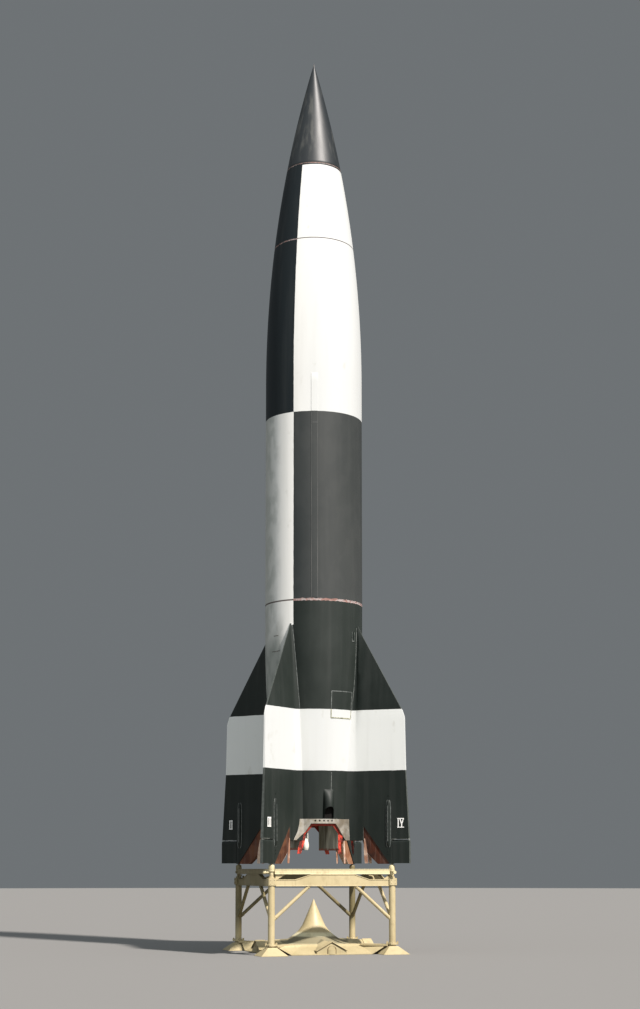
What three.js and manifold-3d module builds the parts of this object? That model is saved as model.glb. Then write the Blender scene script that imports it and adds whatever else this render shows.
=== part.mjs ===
// Liquid-fuelled rocket on its launch table, in millimetres.
// The origin is on the ground under the rocket's axis and +Z points up.
// Fin IV points along +X, fin I along +Y, fin II along -X and fin III along -Y.
import * as THREE from 'three';
import { mergeVertices } from 'three/addons/utils/BufferGeometryUtils.js';
import Module from 'manifold-3d';

const wasm = await Module();
wasm.setup();

// Clearances
const SEAT = 0.3; // gap between pieces that rest on or butt against each other
const RUDDER_GAP = 6; // side gap between a rudder and its fin

// Heights above the ground of the rocket's joints
const FIN_BASE = 1460;
const TAIL_BOTTOM = FIN_BASE + 385;
const TAIL_TOP = FIN_BASE + 4360;
const TANK_TOP = FIN_BASE + 10610;
const INSTRUMENT_TOP = FIN_BASE + 12030;
const NOSE_TIP = FIN_BASE + 14030;

// Body: a straight cylinder under an ogive that is one circular arc
const BODY_RADIUS = 825.5;
const OGIVE_START = FIN_BASE + 8200;
const SIDES = 48;

// Tail section, a thin shell that is open below
const TAIL_WALL = 12;
const TAIL_ROOF = TAIL_TOP - 150;
const TAIL_PROFILE = [
  // [height above the fin base, outside radius]
  [385, 655],
  [730, 675],
  [1400, 712],
  [2000, 744],
  [2610, 778],
  [2930, 804],
  [3500, 821],
  [4360, 825.5],
];

// Fins
const FIN_ANGLES = { 1: 90, 2: 180, 3: 270, 4: 0 };
const FIN_SECTIONS = [
  // [height above the fin base, fillet angle on the body, crease radius, crease half thickness,
  //  tip radius, tip half thickness]
  [0, 13, 868, 86, 1776, 27],
  [385, 13, 866, 86, 1768, 26],
  [1530, 12.5, 862, 86, 1706, 18],
  [2400, 11, 872, 86, 1692, 11],
  [2510, 10.6, 872, 84, 1655, 10],
  [2930, 8.6, 874, 72, 1416, 9],
  [3330, 6.4, 870, 52, 1188, 8],
  [3760, 3.6, 856, 26, 943, 6],
  [3965, 2, 834, 12, 838, 4],
];
const FIN_FOOT_IN = 1440;
const WEB_FOOT_IN = 1245;
const FIN_NOTCH = { radius: 985, bottom: TAIL_BOTTOM, top: FIN_BASE + 585 };
const WEB_THINNING = 14;
const CLEAR_OUT = 1300; // outer end of the cuts that pass through the skirt
const RIB = { radius: 1410, across: 36, proud: 86, bottom: FIN_BASE + 270, top: FIN_BASE + 1045 };

// Air rudders at the outer lower corners of the fins
const RUDDER_ROOT = 1475;
const RUDDER_TIP = 1775;
const RUDDER_TOP = FIN_BASE + 392;
const RUDDER_BOTTOM = FIN_BASE + 10;
const RUDDER_AXIS = FIN_BASE + 345;
const RUDDER_NOTCH_TOP = FIN_BASE + 400;
const PIN = { radius: 12.2, bore: 13, length: 130 };

// Openings in the tail skirt between the fins, and the silver frames round them, as [across, height]
const OPENING_OUTLINE = [
  [-244, 660],
  [179, 660],
  [385, 380],
  [-500, 380],
  [-332, 512],
];
const FRAME_OUTLINE = [
  [-425, 734],
  [425, 734],
  [436, 386],
  [-552, 386],
  [-470, 520],
  [-436, 640],
];
const FRAME_PLATE = 9;
const FRAME_FLANGE = { depth: 48, thick: 9 };
const TONGUES = [
  // Distance of the plate from the axis and its outline as [across, height]
  {
    near: 552,
    outline: [
      [-312, 520],
      [-320, 390],
      [-350, 291],
      [-391, 165],
      [-456, 165],
      [-435, 291],
      [-406, 389],
      [-390, 468],
    ],
  },
  { near: 566, outline: [[245, 566], [319, 470], [319, 360], [290, 352], [290, 165], [245, 165]] },
];

// Vane brackets hung inside the skirt under each fin
const BRACKET = {
  face: 545,
  width: 373,
  wall: 8,
  bottom: FIN_BASE + 228,
  top: FIN_BASE + 720,
  armBottom: FIN_BASE + 600,
  lip: 24,
};

// Exhaust outlets of the turbine, and the screwed tail hatch
const OUTLET_ANGLES = { 1: -41.5, 2: 138.5 };
const OUTLET = {
  radius: 92,
  proud: 104,
  sunk: 12,
  wall: 9,
  top: 1225,
  shoulder: 1150,
  lip: 950,
  bottom: 750,
};
const HATCH = { from: -39.3, to: -11.6, bottom: 2400, top: 2840, thick: 7 };

// Engine
const NOZZLE = { exit: 370, throat: 205, wall: 14, bottom: FIN_BASE + 742, throatAt: FIN_BASE + 1480 };
const ENGINE = { radius: 455, bottom: FIN_BASE + 1960, top: FIN_BASE + 3780 };
const THRUST_RING = { bottom: FIN_BASE + 2060, top: FIN_BASE + 2150 };

// Cable cover up the tank section
const COVER = { from: -65.3, to: -57.6, thick: 7 };

// Launch table
const COLUMN_RADIUS = 1450;
const COLUMN_TUBE = 54;
const COLLAR = { radius: 78, bottom: 130, top: 160 };
const SOCKET = { half: 65, bottom: 1110, top: 1227, chamfer: 14 };
const PAD = { half: 225, topHalf: 76, height: COLLAR.bottom, chamfer: 6 };
const BEAM_DEPTH = 72;
const LOWER_BEAM = { bottom: 1100, top: 1210, raised: 1290.6, flat: 370, slope: 625 };
const UPPER_BEAM = { bottom: 1291, top: 1377 };
const BRACE = { radius: 29, foot: 585, reach: 640 };
const JACK = { spindle: 32.5, cap: 49, capBottom: 1336, capShoulder: 1436 };
const BASE = { height: 150, sheet: 12, below: -50 };
const BASE_EDGE = [
  // One side of the sheet as [out, across, height], its corners lifted over the foot pads
  [1000, -923, 148],
  [1004, -680, 12],
  [1004, 680, 12],
  [1000, 923, 148],
];
const BASE_FLAT = [
  [620, -600, BASE.height],
  [622, -400, BASE.height],
  [622, 400, BASE.height],
  [620, 600, BASE.height],
];
const GABLE = { half: 250, foot: 52, end: 190, middle: 262, out: 992 };
const TAB = { half: 90, from: 900, bottom: COLLAR.bottom + 1, top: COLLAR.top };
const DEFLECTOR_PROFILE = [
  // [radius, height], from the foot of the flare to the point
  [600, BASE.height + SEAT],
  [530, 166],
  [450, 208],
  [376, 258],
  [307, 310],
  [250, 362],
  [190, 446],
  [0, 880],
];

const SIDE_NORMALS = { 1: 45, 2: 135, 3: 225, 4: 315 };
const COLOURS = {
  black: [0x2b2f2e, 0.5, 0.1],
  white: [0xf2f2ec, 0.5, 0.0],
  cream: [0xe9dab0, 0.6, 0.0],
  silver: [0xb9b5ad, 0.45, 0.7],
  steel: [0x6d6a66, 0.55, 0.8],
  grey: [0x8a8c88, 0.7, 0.3],
};

const rocket = new THREE.Group();
const point = (x, y, z) => new THREE.Vector3(x, y, z);
const radians = THREE.MathUtils.degToRad;

function addPiece(name, geometry, colour) {
  const [color, roughness, metalness] = COLOURS[colour];
  const mesh = new THREE.Mesh(geometry, new THREE.MeshStandardMaterial({ color, roughness, metalness }));
  mesh.name = name;
  rocket.add(mesh);
  return mesh;
}

// Booleans between closed meshes
function solid(geometry) {
  const bare = geometry.index ? geometry.clone() : geometry;
  bare.deleteAttribute('normal');
  bare.deleteAttribute('uv');
  const merged = mergeVertices(bare, 1e-3);
  const vertProperties = new Float32Array(merged.attributes.position.array);
  const triVerts = new Uint32Array(merged.index.array);
  const body = new wasm.Manifold(new wasm.Mesh({ numProp: 3, vertProperties, triVerts }));
  if (body.volume() > 0) return body;
  for (let i = 0; i < triVerts.length; i += 3) {
    [triVerts[i], triVerts[i + 1]] = [triVerts[i + 1], triVerts[i]];
  }
  return new wasm.Manifold(new wasm.Mesh({ numProp: 3, vertProperties, triVerts }));
}

function geometryOf(body) {
  const mesh = body.getMesh();
  const geometry = new THREE.BufferGeometry();
  geometry.setAttribute('position', new THREE.BufferAttribute(new Float32Array(mesh.vertProperties), 3));
  geometry.setIndex([...mesh.triVerts]);
  return geometry;
}

const turned = (body, angle) => body.rotate([0, 0, angle]);
const joined = (bodies) => bodies.reduce((sum, body) => sum.add(body));

// A solid of revolution about the vertical axis, from [radius, height] pairs
function revolved(profile, sides = SIDES) {
  const points = profile.map(([radius, height]) => new THREE.Vector2(radius, height));
  return solid(new THREE.LatheGeometry(points, sides).rotateX(Math.PI / 2));
}

// A closed skin through rings of equal point counts, with flat caps
function lofted(rings) {
  const count = rings[0].length;
  const vertices = rings.flat().flatMap((p) => [p.x, p.y, p.z]);
  const faces = [];
  for (let ring = 0; ring < rings.length - 1; ring += 1) {
    for (let i = 0; i < count; i += 1) {
      const a = ring * count + i;
      const b = ring * count + ((i + 1) % count);
      faces.push(a, b, b + count, a, b + count, a + count);
    }
  }
  const outline = rings[0].map((p) => new THREE.Vector2(p.x, p.y));
  const last = (rings.length - 1) * count;
  const flipped = THREE.ShapeUtils.isClockWise(outline);
  for (const [a, b, c] of THREE.ShapeUtils.triangulateShape(outline, [])) {
    const [second, third] = flipped ? [c, b] : [b, c];
    faces.push(second, a, third, last + a, last + second, last + third);
  }
  const geometry = new THREE.BufferGeometry();
  geometry.setAttribute('position', new THREE.Float32BufferAttribute(vertices, 3));
  geometry.setIndex(faces);
  return geometry;
}

// Stands a shape that was drawn as (across, height, depth) so that its depth runs out along +X
function stood(geometry) {
  const basis = new THREE.Matrix4().makeBasis(point(0, 1, 0), point(0, 0, 1), point(1, 0, 0));
  return geometry.applyMatrix4(basis);
}

// A plate whose outline is [across, height], standing from one distance to another out along +X
function plate(outline, near, far) {
  const shape = new THREE.Shape(outline.map(([across, height]) => new THREE.Vector2(across, height)));
  const extruded = new THREE.ExtrudeGeometry(shape, { depth: far - near, bevelEnabled: false });
  return solid(stood(extruded).translate(near, 0, 0));
}

function rod(start, end, radius, sides = 12) {
  const length = start.distanceTo(end);
  const geometry = new THREE.CylinderGeometry(radius, radius, length, sides);
  const turn = new THREE.Quaternion().setFromUnitVectors(
    point(0, 1, 0),
    end.clone().sub(start).normalize(),
  );
  const middle = start.clone().add(end).multiplyScalar(0.5);
  return solid(geometry.applyQuaternion(turn).translate(middle.x, middle.y, middle.z));
}

// Radius of the body at a height above the tail joint
const LENGTH = NOSE_TIP - OGIVE_START;
const OGIVE_RADIUS = (BODY_RADIUS ** 2 + LENGTH ** 2) / (2 * BODY_RADIUS);
function ogive(height) {
  const rise = Math.max(0, height - OGIVE_START);
  return Math.sqrt(OGIVE_RADIUS ** 2 - rise ** 2) - OGIVE_RADIUS + BODY_RADIUS;
}

function bodySection(bottom, top, steps) {
  const low = bottom + SEAT;
  const profile = [[0, low]];
  for (let i = 0; i <= steps; i += 1) {
    const height = low + ((top - low) * i) / steps;
    profile.push([ogive(height), height]);
  }
  profile.push([0, top]);
  return revolved(profile);
}

// Nose cone with a blunt steel point
const nose = [[0, INSTRUMENT_TOP + SEAT]];
for (const share of [0, 0.18, 0.36, 0.54, 0.7, 0.84, 0.94]) {
  const height = INSTRUMENT_TOP + SEAT + (NOSE_TIP - INSTRUMENT_TOP) * share;
  nose.push([ogive(height), height]);
}
nose.push([7, NOSE_TIP - 12], [0, NOSE_TIP]);
addPiece('nose_cone', geometryOf(revolved(nose)), 'black');
addPiece('instrument_section', geometryOf(bodySection(TANK_TOP, INSTRUMENT_TOP, 5)), 'white');
const tank = [[0, TAIL_TOP + SEAT], [BODY_RADIUS, TAIL_TOP + SEAT], [BODY_RADIUS, OGIVE_START]];
for (let i = 1; i <= 7; i += 1) {
  const height = OGIVE_START + ((TANK_TOP - OGIVE_START) * i) / 7;
  tank.push([ogive(height), height]);
}
tank.push([0, TANK_TOP]);
addPiece('tank_section', geometryOf(revolved(tank)), 'white');

// A curved cover plate: a sector of a ring whose inside is cut to the body afterwards
function curvedPlate(radius, thick, from, to, heights, steps) {
  const rings = heights.map((height) => {
    const ring = [];
    for (const [reach, order] of [[thick, 1], [-10, -1]]) {
      for (let i = 0; i <= steps; i += 1) {
        const share = order > 0 ? i / steps : 1 - i / steps;
        const angle = radians(from + (to - from) * share);
        const r = radius(height) + reach;
        ring.push(point(r * Math.cos(angle), r * Math.sin(angle), height));
      }
    }
    return ring;
  });
  return solid(lofted(rings));
}
const tankGrown = revolved([
  [0, TAIL_TOP],
  [BODY_RADIUS + SEAT, TAIL_TOP],
  [BODY_RADIUS + SEAT, TANK_TOP],
  [0, TANK_TOP],
]);
const coverEnds = [TAIL_TOP + 30, OGIVE_START];
const cover = curvedPlate(() => BODY_RADIUS, COVER.thick, COVER.from, COVER.to, coverEnds, 2);
addPiece('cable_cover', geometryOf(cover.subtract(tankGrown)), 'black');

// Tail section
const tailRadius = (height) => {
  const rise = height - FIN_BASE;
  const upper = Math.max(1, TAIL_PROFILE.findIndex(([z]) => z >= rise));
  const [z0, r0] = TAIL_PROFILE[upper - 1];
  const [z1, r1] = TAIL_PROFILE[upper];
  return r0 + ((r1 - r0) * (rise - z0)) / (z1 - z0);
};
const tailOutside = TAIL_PROFILE.map(([z, r]) => [r, FIN_BASE + z]);
const tailInside = TAIL_PROFILE.slice(0, -1).map(([z, r]) => [r - TAIL_WALL, FIN_BASE + z]);
const roofEdge = [tailRadius(TAIL_ROOF) - TAIL_WALL, TAIL_ROOF];
const tailCore = revolved([[0, TAIL_BOTTOM], ...tailOutside, [0, TAIL_TOP]]);
const tailHollow = revolved([
  [0, TAIL_BOTTOM - 10],
  [tailInside[0][0], TAIL_BOTTOM - 10],
  ...tailInside,
  roofEdge,
  [0, TAIL_ROOF],
]);
const tailGrown = revolved([
  [0, FIN_BASE - 10],
  [TAIL_PROFILE[0][1] + SEAT, FIN_BASE - 10],
  ...tailOutside.map(([r, z]) => [r + SEAT, z]),
  [0, TAIL_TOP],
]);
const raised = (outline) => outline.map(([across, height]) => [across, FIN_BASE + height]);
const openingWay = plate(raised(OPENING_OUTLINE), 380, CLEAR_OUT);
const allOpenings = joined(Object.values(SIDE_NORMALS).map((angle) => turned(openingWay, angle)));
const tailShell = tailCore.subtract(tailHollow).subtract(allOpenings);
addPiece('tail_shell', geometryOf(tailShell), 'black');

// Fins: one hollow-ground wedge with root fillets, built for +X and turned to its place
function finRing([rise, fillet, creaseRadius, crease, tipRadius, tip], thinning = 0, inner = 300) {
  const height = FIN_BASE + rise;
  const body = tailRadius(Math.max(height, TAIL_BOTTOM));
  const angle = radians(fillet);
  const side = [
    [inner, 60],
    [body * Math.cos(angle) - 4, body * Math.sin(angle)],
    [(body * Math.cos(angle) + creaseRadius) / 2 - 14, (body * Math.sin(angle) + crease) / 2 - 7],
    [creaseRadius, crease - thinning],
    [tipRadius - thinning, tip - thinning / 3],
  ];
  const left = side.map(([radius, half]) => point(radius, half, height));
  const right = side.map(([radius, half]) => point(radius, -half, height)).reverse();
  return [...left, ...right];
}
const finBlank = solid(lofted(FIN_SECTIONS.map((row) => finRing(row))));
const webBlank = solid(lofted(FIN_SECTIONS.slice(0, 3).map((row) => finRing(row, WEB_THINNING))));

// Side view of the fin's painted skin and of the bare web inboard of it, as [radius, height]
const skinOutline = [
  [300, FIN_NOTCH.bottom],
  [FIN_NOTCH.radius, FIN_NOTCH.bottom],
  [FIN_NOTCH.radius, FIN_NOTCH.top],
  [FIN_FOOT_IN, FIN_BASE],
  [RUDDER_ROOT - RUDDER_GAP, FIN_BASE],
  [RUDDER_ROOT - RUDDER_GAP, RUDDER_NOTCH_TOP],
  [2000, RUDDER_NOTCH_TOP],
  [2000, TAIL_TOP],
  [300, TAIL_TOP],
];
const webOutline = [
  [FIN_NOTCH.radius - 75, FIN_NOTCH.top],
  [WEB_FOOT_IN, FIN_BASE],
  [RUDDER_ROOT - RUDDER_GAP - WEB_THINNING, FIN_BASE],
  [FIN_NOTCH.radius + 60, FIN_NOTCH.top],
];
function sideCut(outline, half) {
  const shape = new THREE.Shape(outline.map(([radius, height]) => new THREE.Vector2(radius, height)));
  const extruded = new THREE.ExtrudeGeometry(shape, { depth: 2 * half, bevelEnabled: false });
  return solid(extruded.rotateX(Math.PI / 2).translate(0, half, 0));
}
const ribLength = RIB.top - RIB.bottom;
const rib = solid(new THREE.CylinderGeometry(1, 1, ribLength - 120, 16).rotateX(Math.PI / 2))
  .scale([RIB.across, RIB.proud, 1])
  .translate([RIB.radius, 0, (RIB.top + RIB.bottom) / 2]);
const ribEnd = solid(new THREE.CylinderGeometry(1, 0.35, 60, 16).rotateX(Math.PI / 2))
  .scale([RIB.across, RIB.proud, 1]);
const ribTop = ribEnd.rotate([180, 0, 0]).translate([RIB.radius, 0, RIB.top - 30]);
const ribFoot = ribEnd.translate([RIB.radius, 0, RIB.bottom + 30]);
const skin = finBlank.intersect(sideCut(skinOutline, 400));
const web = webBlank.intersect(sideCut(webOutline, 400));
const hingePin = rod(
  point(RUDDER_ROOT - RUDDER_GAP - 30, 0, RUDDER_AXIS),
  point(RUDDER_ROOT + PIN.length, 0, RUDDER_AXIS),
  PIN.radius,
  16,
);
const fin = joined([skin, web, rib, ribTop, ribFoot, hingePin]).subtract(tailGrown).subtract(allOpenings);

// Rudders: the fin's own wedge below the notch, with a rounded top edge and a blind bore for the pin
function wedgeHalf(radius) {
  const [, , creaseRadius, crease, tipRadius, tip] = FIN_SECTIONS[0];
  return crease + ((tip - crease) * (radius - creaseRadius)) / (tipRadius - creaseRadius);
}
function rudderRing(radius) {
  const half = wedgeHalf(radius);
  const nose = RUDDER_TOP - RUDDER_AXIS;
  const side = [
    [half, RUDDER_BOTTOM],
    [half, RUDDER_AXIS],
    [half * 0.72, RUDDER_AXIS + nose * 0.72],
    [half * 0.3, RUDDER_TOP],
  ];
  const left = side.map(([across, height]) => point(across, height, radius));
  const right = side.map(([across, height]) => point(-across, height, radius)).reverse();
  return [...left, ...right];
}
const bore = rod(
  point(RUDDER_ROOT - 5, 0, RUDDER_AXIS),
  point(RUDDER_ROOT + PIN.length + 6, 0, RUDDER_AXIS),
  PIN.bore,
  16,
);
const rudder = solid(stood(lofted([rudderRing(RUDDER_ROOT), rudderRing(RUDDER_TIP)]))).subtract(bore);
for (const [number, angle] of Object.entries(FIN_ANGLES)) {
  addPiece(`fin_${number}`, geometryOf(fin), 'black').rotation.z = radians(angle);
  addPiece(`rudder_${number}`, geometryOf(rudder), 'black').rotation.z = radians(angle);
}

// Surface of the skirt from fin to fin, seen from above with the quarter's middle along +X:
// one fin's face, its crease, the fillet, the round body and the same again
function quarterLine(height, offset) {
  const [, fillet, creaseRadius, crease] = FIN_SECTIONS[1];
  const body = tailRadius(Math.max(height, TAIL_BOTTOM));
  const angle = radians(fillet);
  const half = [
    [creaseRadius + 110, wedgeHalf(creaseRadius + 110)],
    [creaseRadius, crease],
    [(body * Math.cos(angle) + creaseRadius) / 2 - 14, (body * Math.sin(angle) + crease) / 2 - 7],
    [body * Math.cos(angle), body * Math.sin(angle)],
  ];
  const centre = new THREE.Vector2();
  const line = half.map(([out, side]) => new THREE.Vector2(out, side).rotateAround(centre, radians(-45)));
  const steps = 9;
  for (let i = 1; i < steps; i += 1) {
    const turn = radians(-45 + fillet + ((90 - 2 * fillet) * i) / steps);
    line.push(new THREE.Vector2(body * Math.cos(turn), body * Math.sin(turn)));
  }
  for (const p of line.slice(0, 4).reverse()) line.push(new THREE.Vector2(p.x, -p.y));
  return line.map((p, i) => {
    const before = line[Math.max(0, i - 1)];
    const after = line[Math.min(line.length - 1, i + 1)];
    const along = after.clone().sub(before).normalize();
    return point(p.x + along.y * offset, p.y - along.x * offset, height);
  });
}
function quarterShell(inside, outside) {
  const heights = [TAIL_BOTTOM, FIN_BASE + TAIL_PROFILE[1][0], FIN_BASE + 760];
  return solid(lofted(heights.map((z) => [...quarterLine(z, outside), ...quarterLine(z, inside).reverse()])));
}
// An outline drawn smaller all round by one distance
function inset(outline, distance) {
  const corners = outline.map(([x, y]) => new THREE.Vector2(x, y));
  const sense = Math.sign(THREE.ShapeUtils.area(corners));
  return corners.map((corner, i) => {
    const before = corners[(i + corners.length - 1) % corners.length];
    const after = corners[(i + 1) % corners.length];
    const a = corner.clone().sub(before).normalize();
    const b = after.clone().sub(corner).normalize();
    const normal = new THREE.Vector2(-(a.y + b.y), a.x + b.x).normalize().multiplyScalar(sense);
    const stretch = 1 / Math.max(0.4, normal.dot(new THREE.Vector2(-b.y, b.x).multiplyScalar(sense)));
    return [corner.x + normal.x * distance * stretch, corner.y + normal.y * distance * stretch];
  });
}
const seatOutline = raised(inset(OPENING_OUTLINE, 0.6));
const clearOutline = raised(inset(OPENING_OUTLINE, 0.6 + FRAME_FLANGE.thick));
const clearWay = plate(clearOutline, 300, CLEAR_OUT);
const finSteps = [[0, 0, 0], [0, SEAT, 0], [SEAT, SEAT, 0], [0, SEAT, -SEAT]];
const finsBeside = joined([-1, 1].flatMap((side) => finSteps.map(([out, across, up]) => turned(
  fin.translate([out, -side * across, up]),
  side * 45,
))));
const framePlate = plate(raised(FRAME_OUTLINE), 300, CLEAR_OUT)
  .subtract(clearWay)
  .intersect(quarterShell(-SEAT * 8, FRAME_PLATE))
  .subtract(tailGrown);
const frameFlange = plate(seatOutline, 300, CLEAR_OUT)
  .subtract(clearWay)
  .intersect(quarterShell(-FRAME_FLANGE.depth, FRAME_PLATE - 1));
const belowSkirt = plate(raised([[-600, 0], [600, 0], [600, 383], [-600, 383]]), 300, CLEAR_OUT);
const tongueWay = plate(seatOutline, 300, CLEAR_OUT).add(belowSkirt);
const tongues = TONGUES.map(({ near, outline }) => {
  const blade = plate(raised(outline), near, near + FRAME_PLATE);
  return blade.intersect(tongueWay);
});
const frame = joined([framePlate, frameFlange, ...tongues]).subtract(finsBeside);
for (const [number, angle] of Object.entries(SIDE_NORMALS)) {
  addPiece(`arch_frame_${number}`, geometryOf(frame), 'silver').rotation.z = radians(angle);
}

// Vane brackets, channels hung inside the skirt by an arm to its wall
const insideSkirt = revolved([
  [0, TAIL_BOTTOM - 10],
  [tailInside[0][0] - SEAT, TAIL_BOTTOM - 10],
  ...tailInside.map(([r, z]) => [r - SEAT, z]),
  [0, tailInside.at(-1)[1]],
]);
const channel = plate(
  [
    [-BRACKET.width / 2, BRACKET.bottom],
    [BRACKET.width / 2, BRACKET.bottom],
    [BRACKET.width / 2, BRACKET.top],
    [-BRACKET.width / 2, BRACKET.top],
  ],
  BRACKET.face,
  BRACKET.face + BRACKET.lip,
);
const channelHollow = plate(
  [
    [BRACKET.wall - BRACKET.width / 2, BRACKET.bottom - 10],
    [BRACKET.width / 2 - BRACKET.wall, BRACKET.bottom - 10],
    [BRACKET.width / 2 - BRACKET.wall, BRACKET.top + 10],
    [BRACKET.wall - BRACKET.width / 2, BRACKET.top + 10],
  ],
  BRACKET.face + BRACKET.wall,
  BRACKET.face + BRACKET.lip + 10,
);
const arm = plate(
  [
    [-40, BRACKET.armBottom],
    [40, BRACKET.armBottom],
    [40, BRACKET.top],
    [-40, BRACKET.top],
  ],
  BRACKET.face + BRACKET.wall - 1,
  800,
).intersect(insideSkirt);
const bracket = channel.subtract(channelHollow).add(arm);
for (const [number, angle] of Object.entries(FIN_ANGLES)) {
  addPiece(`vane_bracket_${number}`, geometryOf(bracket), 'grey').rotation.z = radians(angle);
}

// Turbine exhaust outlets: a half-round hood that grows out of the skirt, open in front and below
function hoodRing(rise, radius, proud) {
  const height = FIN_BASE + rise;
  const centre = tailRadius(height) - OUTLET.sunk;
  const ring = [];
  for (let i = 0; i <= 10; i += 1) {
    const turn = -Math.PI / 2 + (Math.PI * i) / 10;
    const out = (OUTLET.sunk + proud) * Math.cos(turn);
    ring.push(point(centre + out, radius * Math.sin(turn), height));
  }
  return ring;
}
const hoodBlank = solid(
  lofted([
    hoodRing(OUTLET.bottom, OUTLET.radius, OUTLET.proud),
    hoodRing(OUTLET.lip, OUTLET.radius, OUTLET.proud),
    hoodRing(OUTLET.shoulder, OUTLET.radius, OUTLET.proud * 0.5),
    hoodRing(OUTLET.top, OUTLET.radius * 0.8, -OUTLET.sunk / 2),
  ]),
);
const mouth = [];
const mouthHalf = OUTLET.radius - OUTLET.wall;
for (let i = 0; i <= 8; i += 1) {
  const turn = (Math.PI * i) / 8;
  mouth.push([mouthHalf * Math.cos(turn), OUTLET.lip - 12 - mouthHalf + mouthHalf * Math.sin(turn)]);
}
mouth.push([-mouthHalf, OUTLET.bottom - 30], [mouthHalf, OUTLET.bottom - 30]);
const mouthWay = plate(raised(mouth), tailRadius(FIN_BASE + OUTLET.bottom) + OUTLET.wall, CLEAR_OUT);
for (const [number, angle] of Object.entries(OUTLET_ANGLES)) {
  const hood = turned(hoodBlank.subtract(mouthWay), angle).subtract(tailGrown);
  addPiece(`exhaust_outlet_${number}`, geometryOf(hood), 'black');
}

// Tail hatch, a screwed cover plate bent to the body
const hatchHeights = [HATCH.bottom, 2610, HATCH.top].map((rise) => FIN_BASE + rise);
const hatch = curvedPlate(tailRadius, HATCH.thick, HATCH.from, HATCH.to, hatchHeights, 4);
addPiece('tail_hatch', geometryOf(hatch.subtract(tailGrown)), 'black');

// Engine: nozzle bell, one plain block for the engine and the ring that ties it to the tail shell
const nozzleTop = ENGINE.bottom - SEAT;
const bell = [
  // [inside radius, height]
  [NOZZLE.exit, NOZZLE.bottom],
  [330, FIN_BASE + 930],
  [275, FIN_BASE + 1180],
  [NOZZLE.throat, NOZZLE.throatAt],
  [300, FIN_BASE + 1760],
];
const nozzle = revolved(
  [
    ...bell.map(([r, z]) => [r + NOZZLE.wall, z]),
    [360, nozzleTop],
    [0, nozzleTop],
    [0, FIN_BASE + 1900],
    [260, FIN_BASE + 1860],
    ...[...bell].reverse(),
    [NOZZLE.exit + NOZZLE.wall, NOZZLE.bottom],
  ],
  32,
);
addPiece('nozzle', geometryOf(nozzle), 'steel');
const engineBlock = [
  [0, ENGINE.bottom],
  [ENGINE.radius, ENGINE.bottom],
  [ENGINE.radius, ENGINE.top],
  [0, ENGINE.top],
];
addPiece('engine', geometryOf(revolved(engineBlock)), 'steel');
const ringInside = ENGINE.radius + SEAT;
const ringOutside = (height) => tailRadius(height) - TAIL_WALL - SEAT * 2;
const thrustRing = revolved([
  [ringInside, THRUST_RING.bottom],
  [ringOutside(THRUST_RING.bottom), THRUST_RING.bottom],
  [ringOutside(THRUST_RING.top), THRUST_RING.top],
  [ringInside, THRUST_RING.top],
  [ringInside, THRUST_RING.bottom],
]);
addPiece('thrust_ring', geometryOf(thrustRing), 'steel');

// Launch table: corner columns with collar and beam socket, foot pads and jacks
const tube = revolved(
  [
    [0, COLLAR.bottom + SEAT],
    [COLLAR.radius, COLLAR.bottom + SEAT],
    [COLLAR.radius, COLLAR.top],
    [COLUMN_TUBE, COLLAR.top],
    [COLUMN_TUBE, SOCKET.bottom + 10],
    [0, SOCKET.bottom + 10],
  ],
  16,
).translate([COLUMN_RADIUS, 0, 0]);
function boxedFrustum(half, topHalf, bottom, top, cut) {
  const ring = (size, height) => {
    const points = [];
    for (const [x, y] of [[1, -1], [1, 1], [-1, 1], [-1, -1]]) {
      const first = point(x * size, y * (size - cut), height);
      const second = point(x * (size - cut), y * size, height);
      points.push(...(x * y < 0 ? [second, first] : [first, second]));
    }
    return points;
  };
  return solid(lofted([ring(half, bottom), ring(topHalf, top)]));
}
const atCorner = (body) => body.rotate([0, 0, 45]).translate([COLUMN_RADIUS, 0, 0]);
const socket = boxedFrustum(SOCKET.half, SOCKET.half, SOCKET.bottom, SOCKET.top, SOCKET.chamfer);
const column = tube.add(atCorner(socket));
const pad = atCorner(boxedFrustum(PAD.half, PAD.topHalf, 0, PAD.height, PAD.chamfer));
const jack = revolved(
  [
    [0, SOCKET.top + SEAT],
    [JACK.spindle, SOCKET.top + SEAT],
    [JACK.spindle, JACK.capBottom],
    [JACK.cap, JACK.capBottom],
    [JACK.cap, JACK.capShoulder],
    [JACK.cap - 14, FIN_BASE - SEAT],
    [0, FIN_BASE - SEAT],
  ],
  16,
).translate([COLUMN_RADIUS, 0, 0]);
for (const [number, angle] of Object.entries(FIN_ANGLES)) {
  addPiece(`column_${number}`, geometryOf(column), 'cream').rotation.z = radians(angle);
  addPiece(`foot_pad_${number}`, geometryOf(pad), 'cream').rotation.z = radians(angle);
  addPiece(`jack_${number}`, geometryOf(jack), 'cream').rotation.z = radians(angle);
}

// Side frames: a beam with a raised middle and two welded knee braces, from socket to socket
const sideOut = COLUMN_RADIUS * Math.SQRT1_2;
const lowerEnd = sideOut - SOCKET.half - SEAT;
const { bottom: low, top: high, raised: hump, flat, slope } = LOWER_BEAM;
const lowerBeam = plate(
  [
    [-lowerEnd, low],
    [lowerEnd, low],
    [lowerEnd, high],
    [slope, high],
    [flat, hump],
    [-flat, hump],
    [-slope, high],
    [-lowerEnd, high],
  ],
  sideOut - BEAM_DEPTH / 2,
  sideOut + BEAM_DEPTH / 2,
);
const columnWay = (side) => rod(
  point(sideOut, side * sideOut, 0),
  point(sideOut, side * sideOut, SOCKET.bottom),
  COLUMN_TUBE + SEAT * 3,
  16,
);
const braces = [-1, 1].map((side) => rod(
  point(sideOut, side * (sideOut - COLUMN_TUBE / 2), BRACE.foot - 20),
  point(sideOut, side * (sideOut - BRACE.reach), low + 14),
  BRACE.radius,
).subtract(columnWay(side)));
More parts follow.
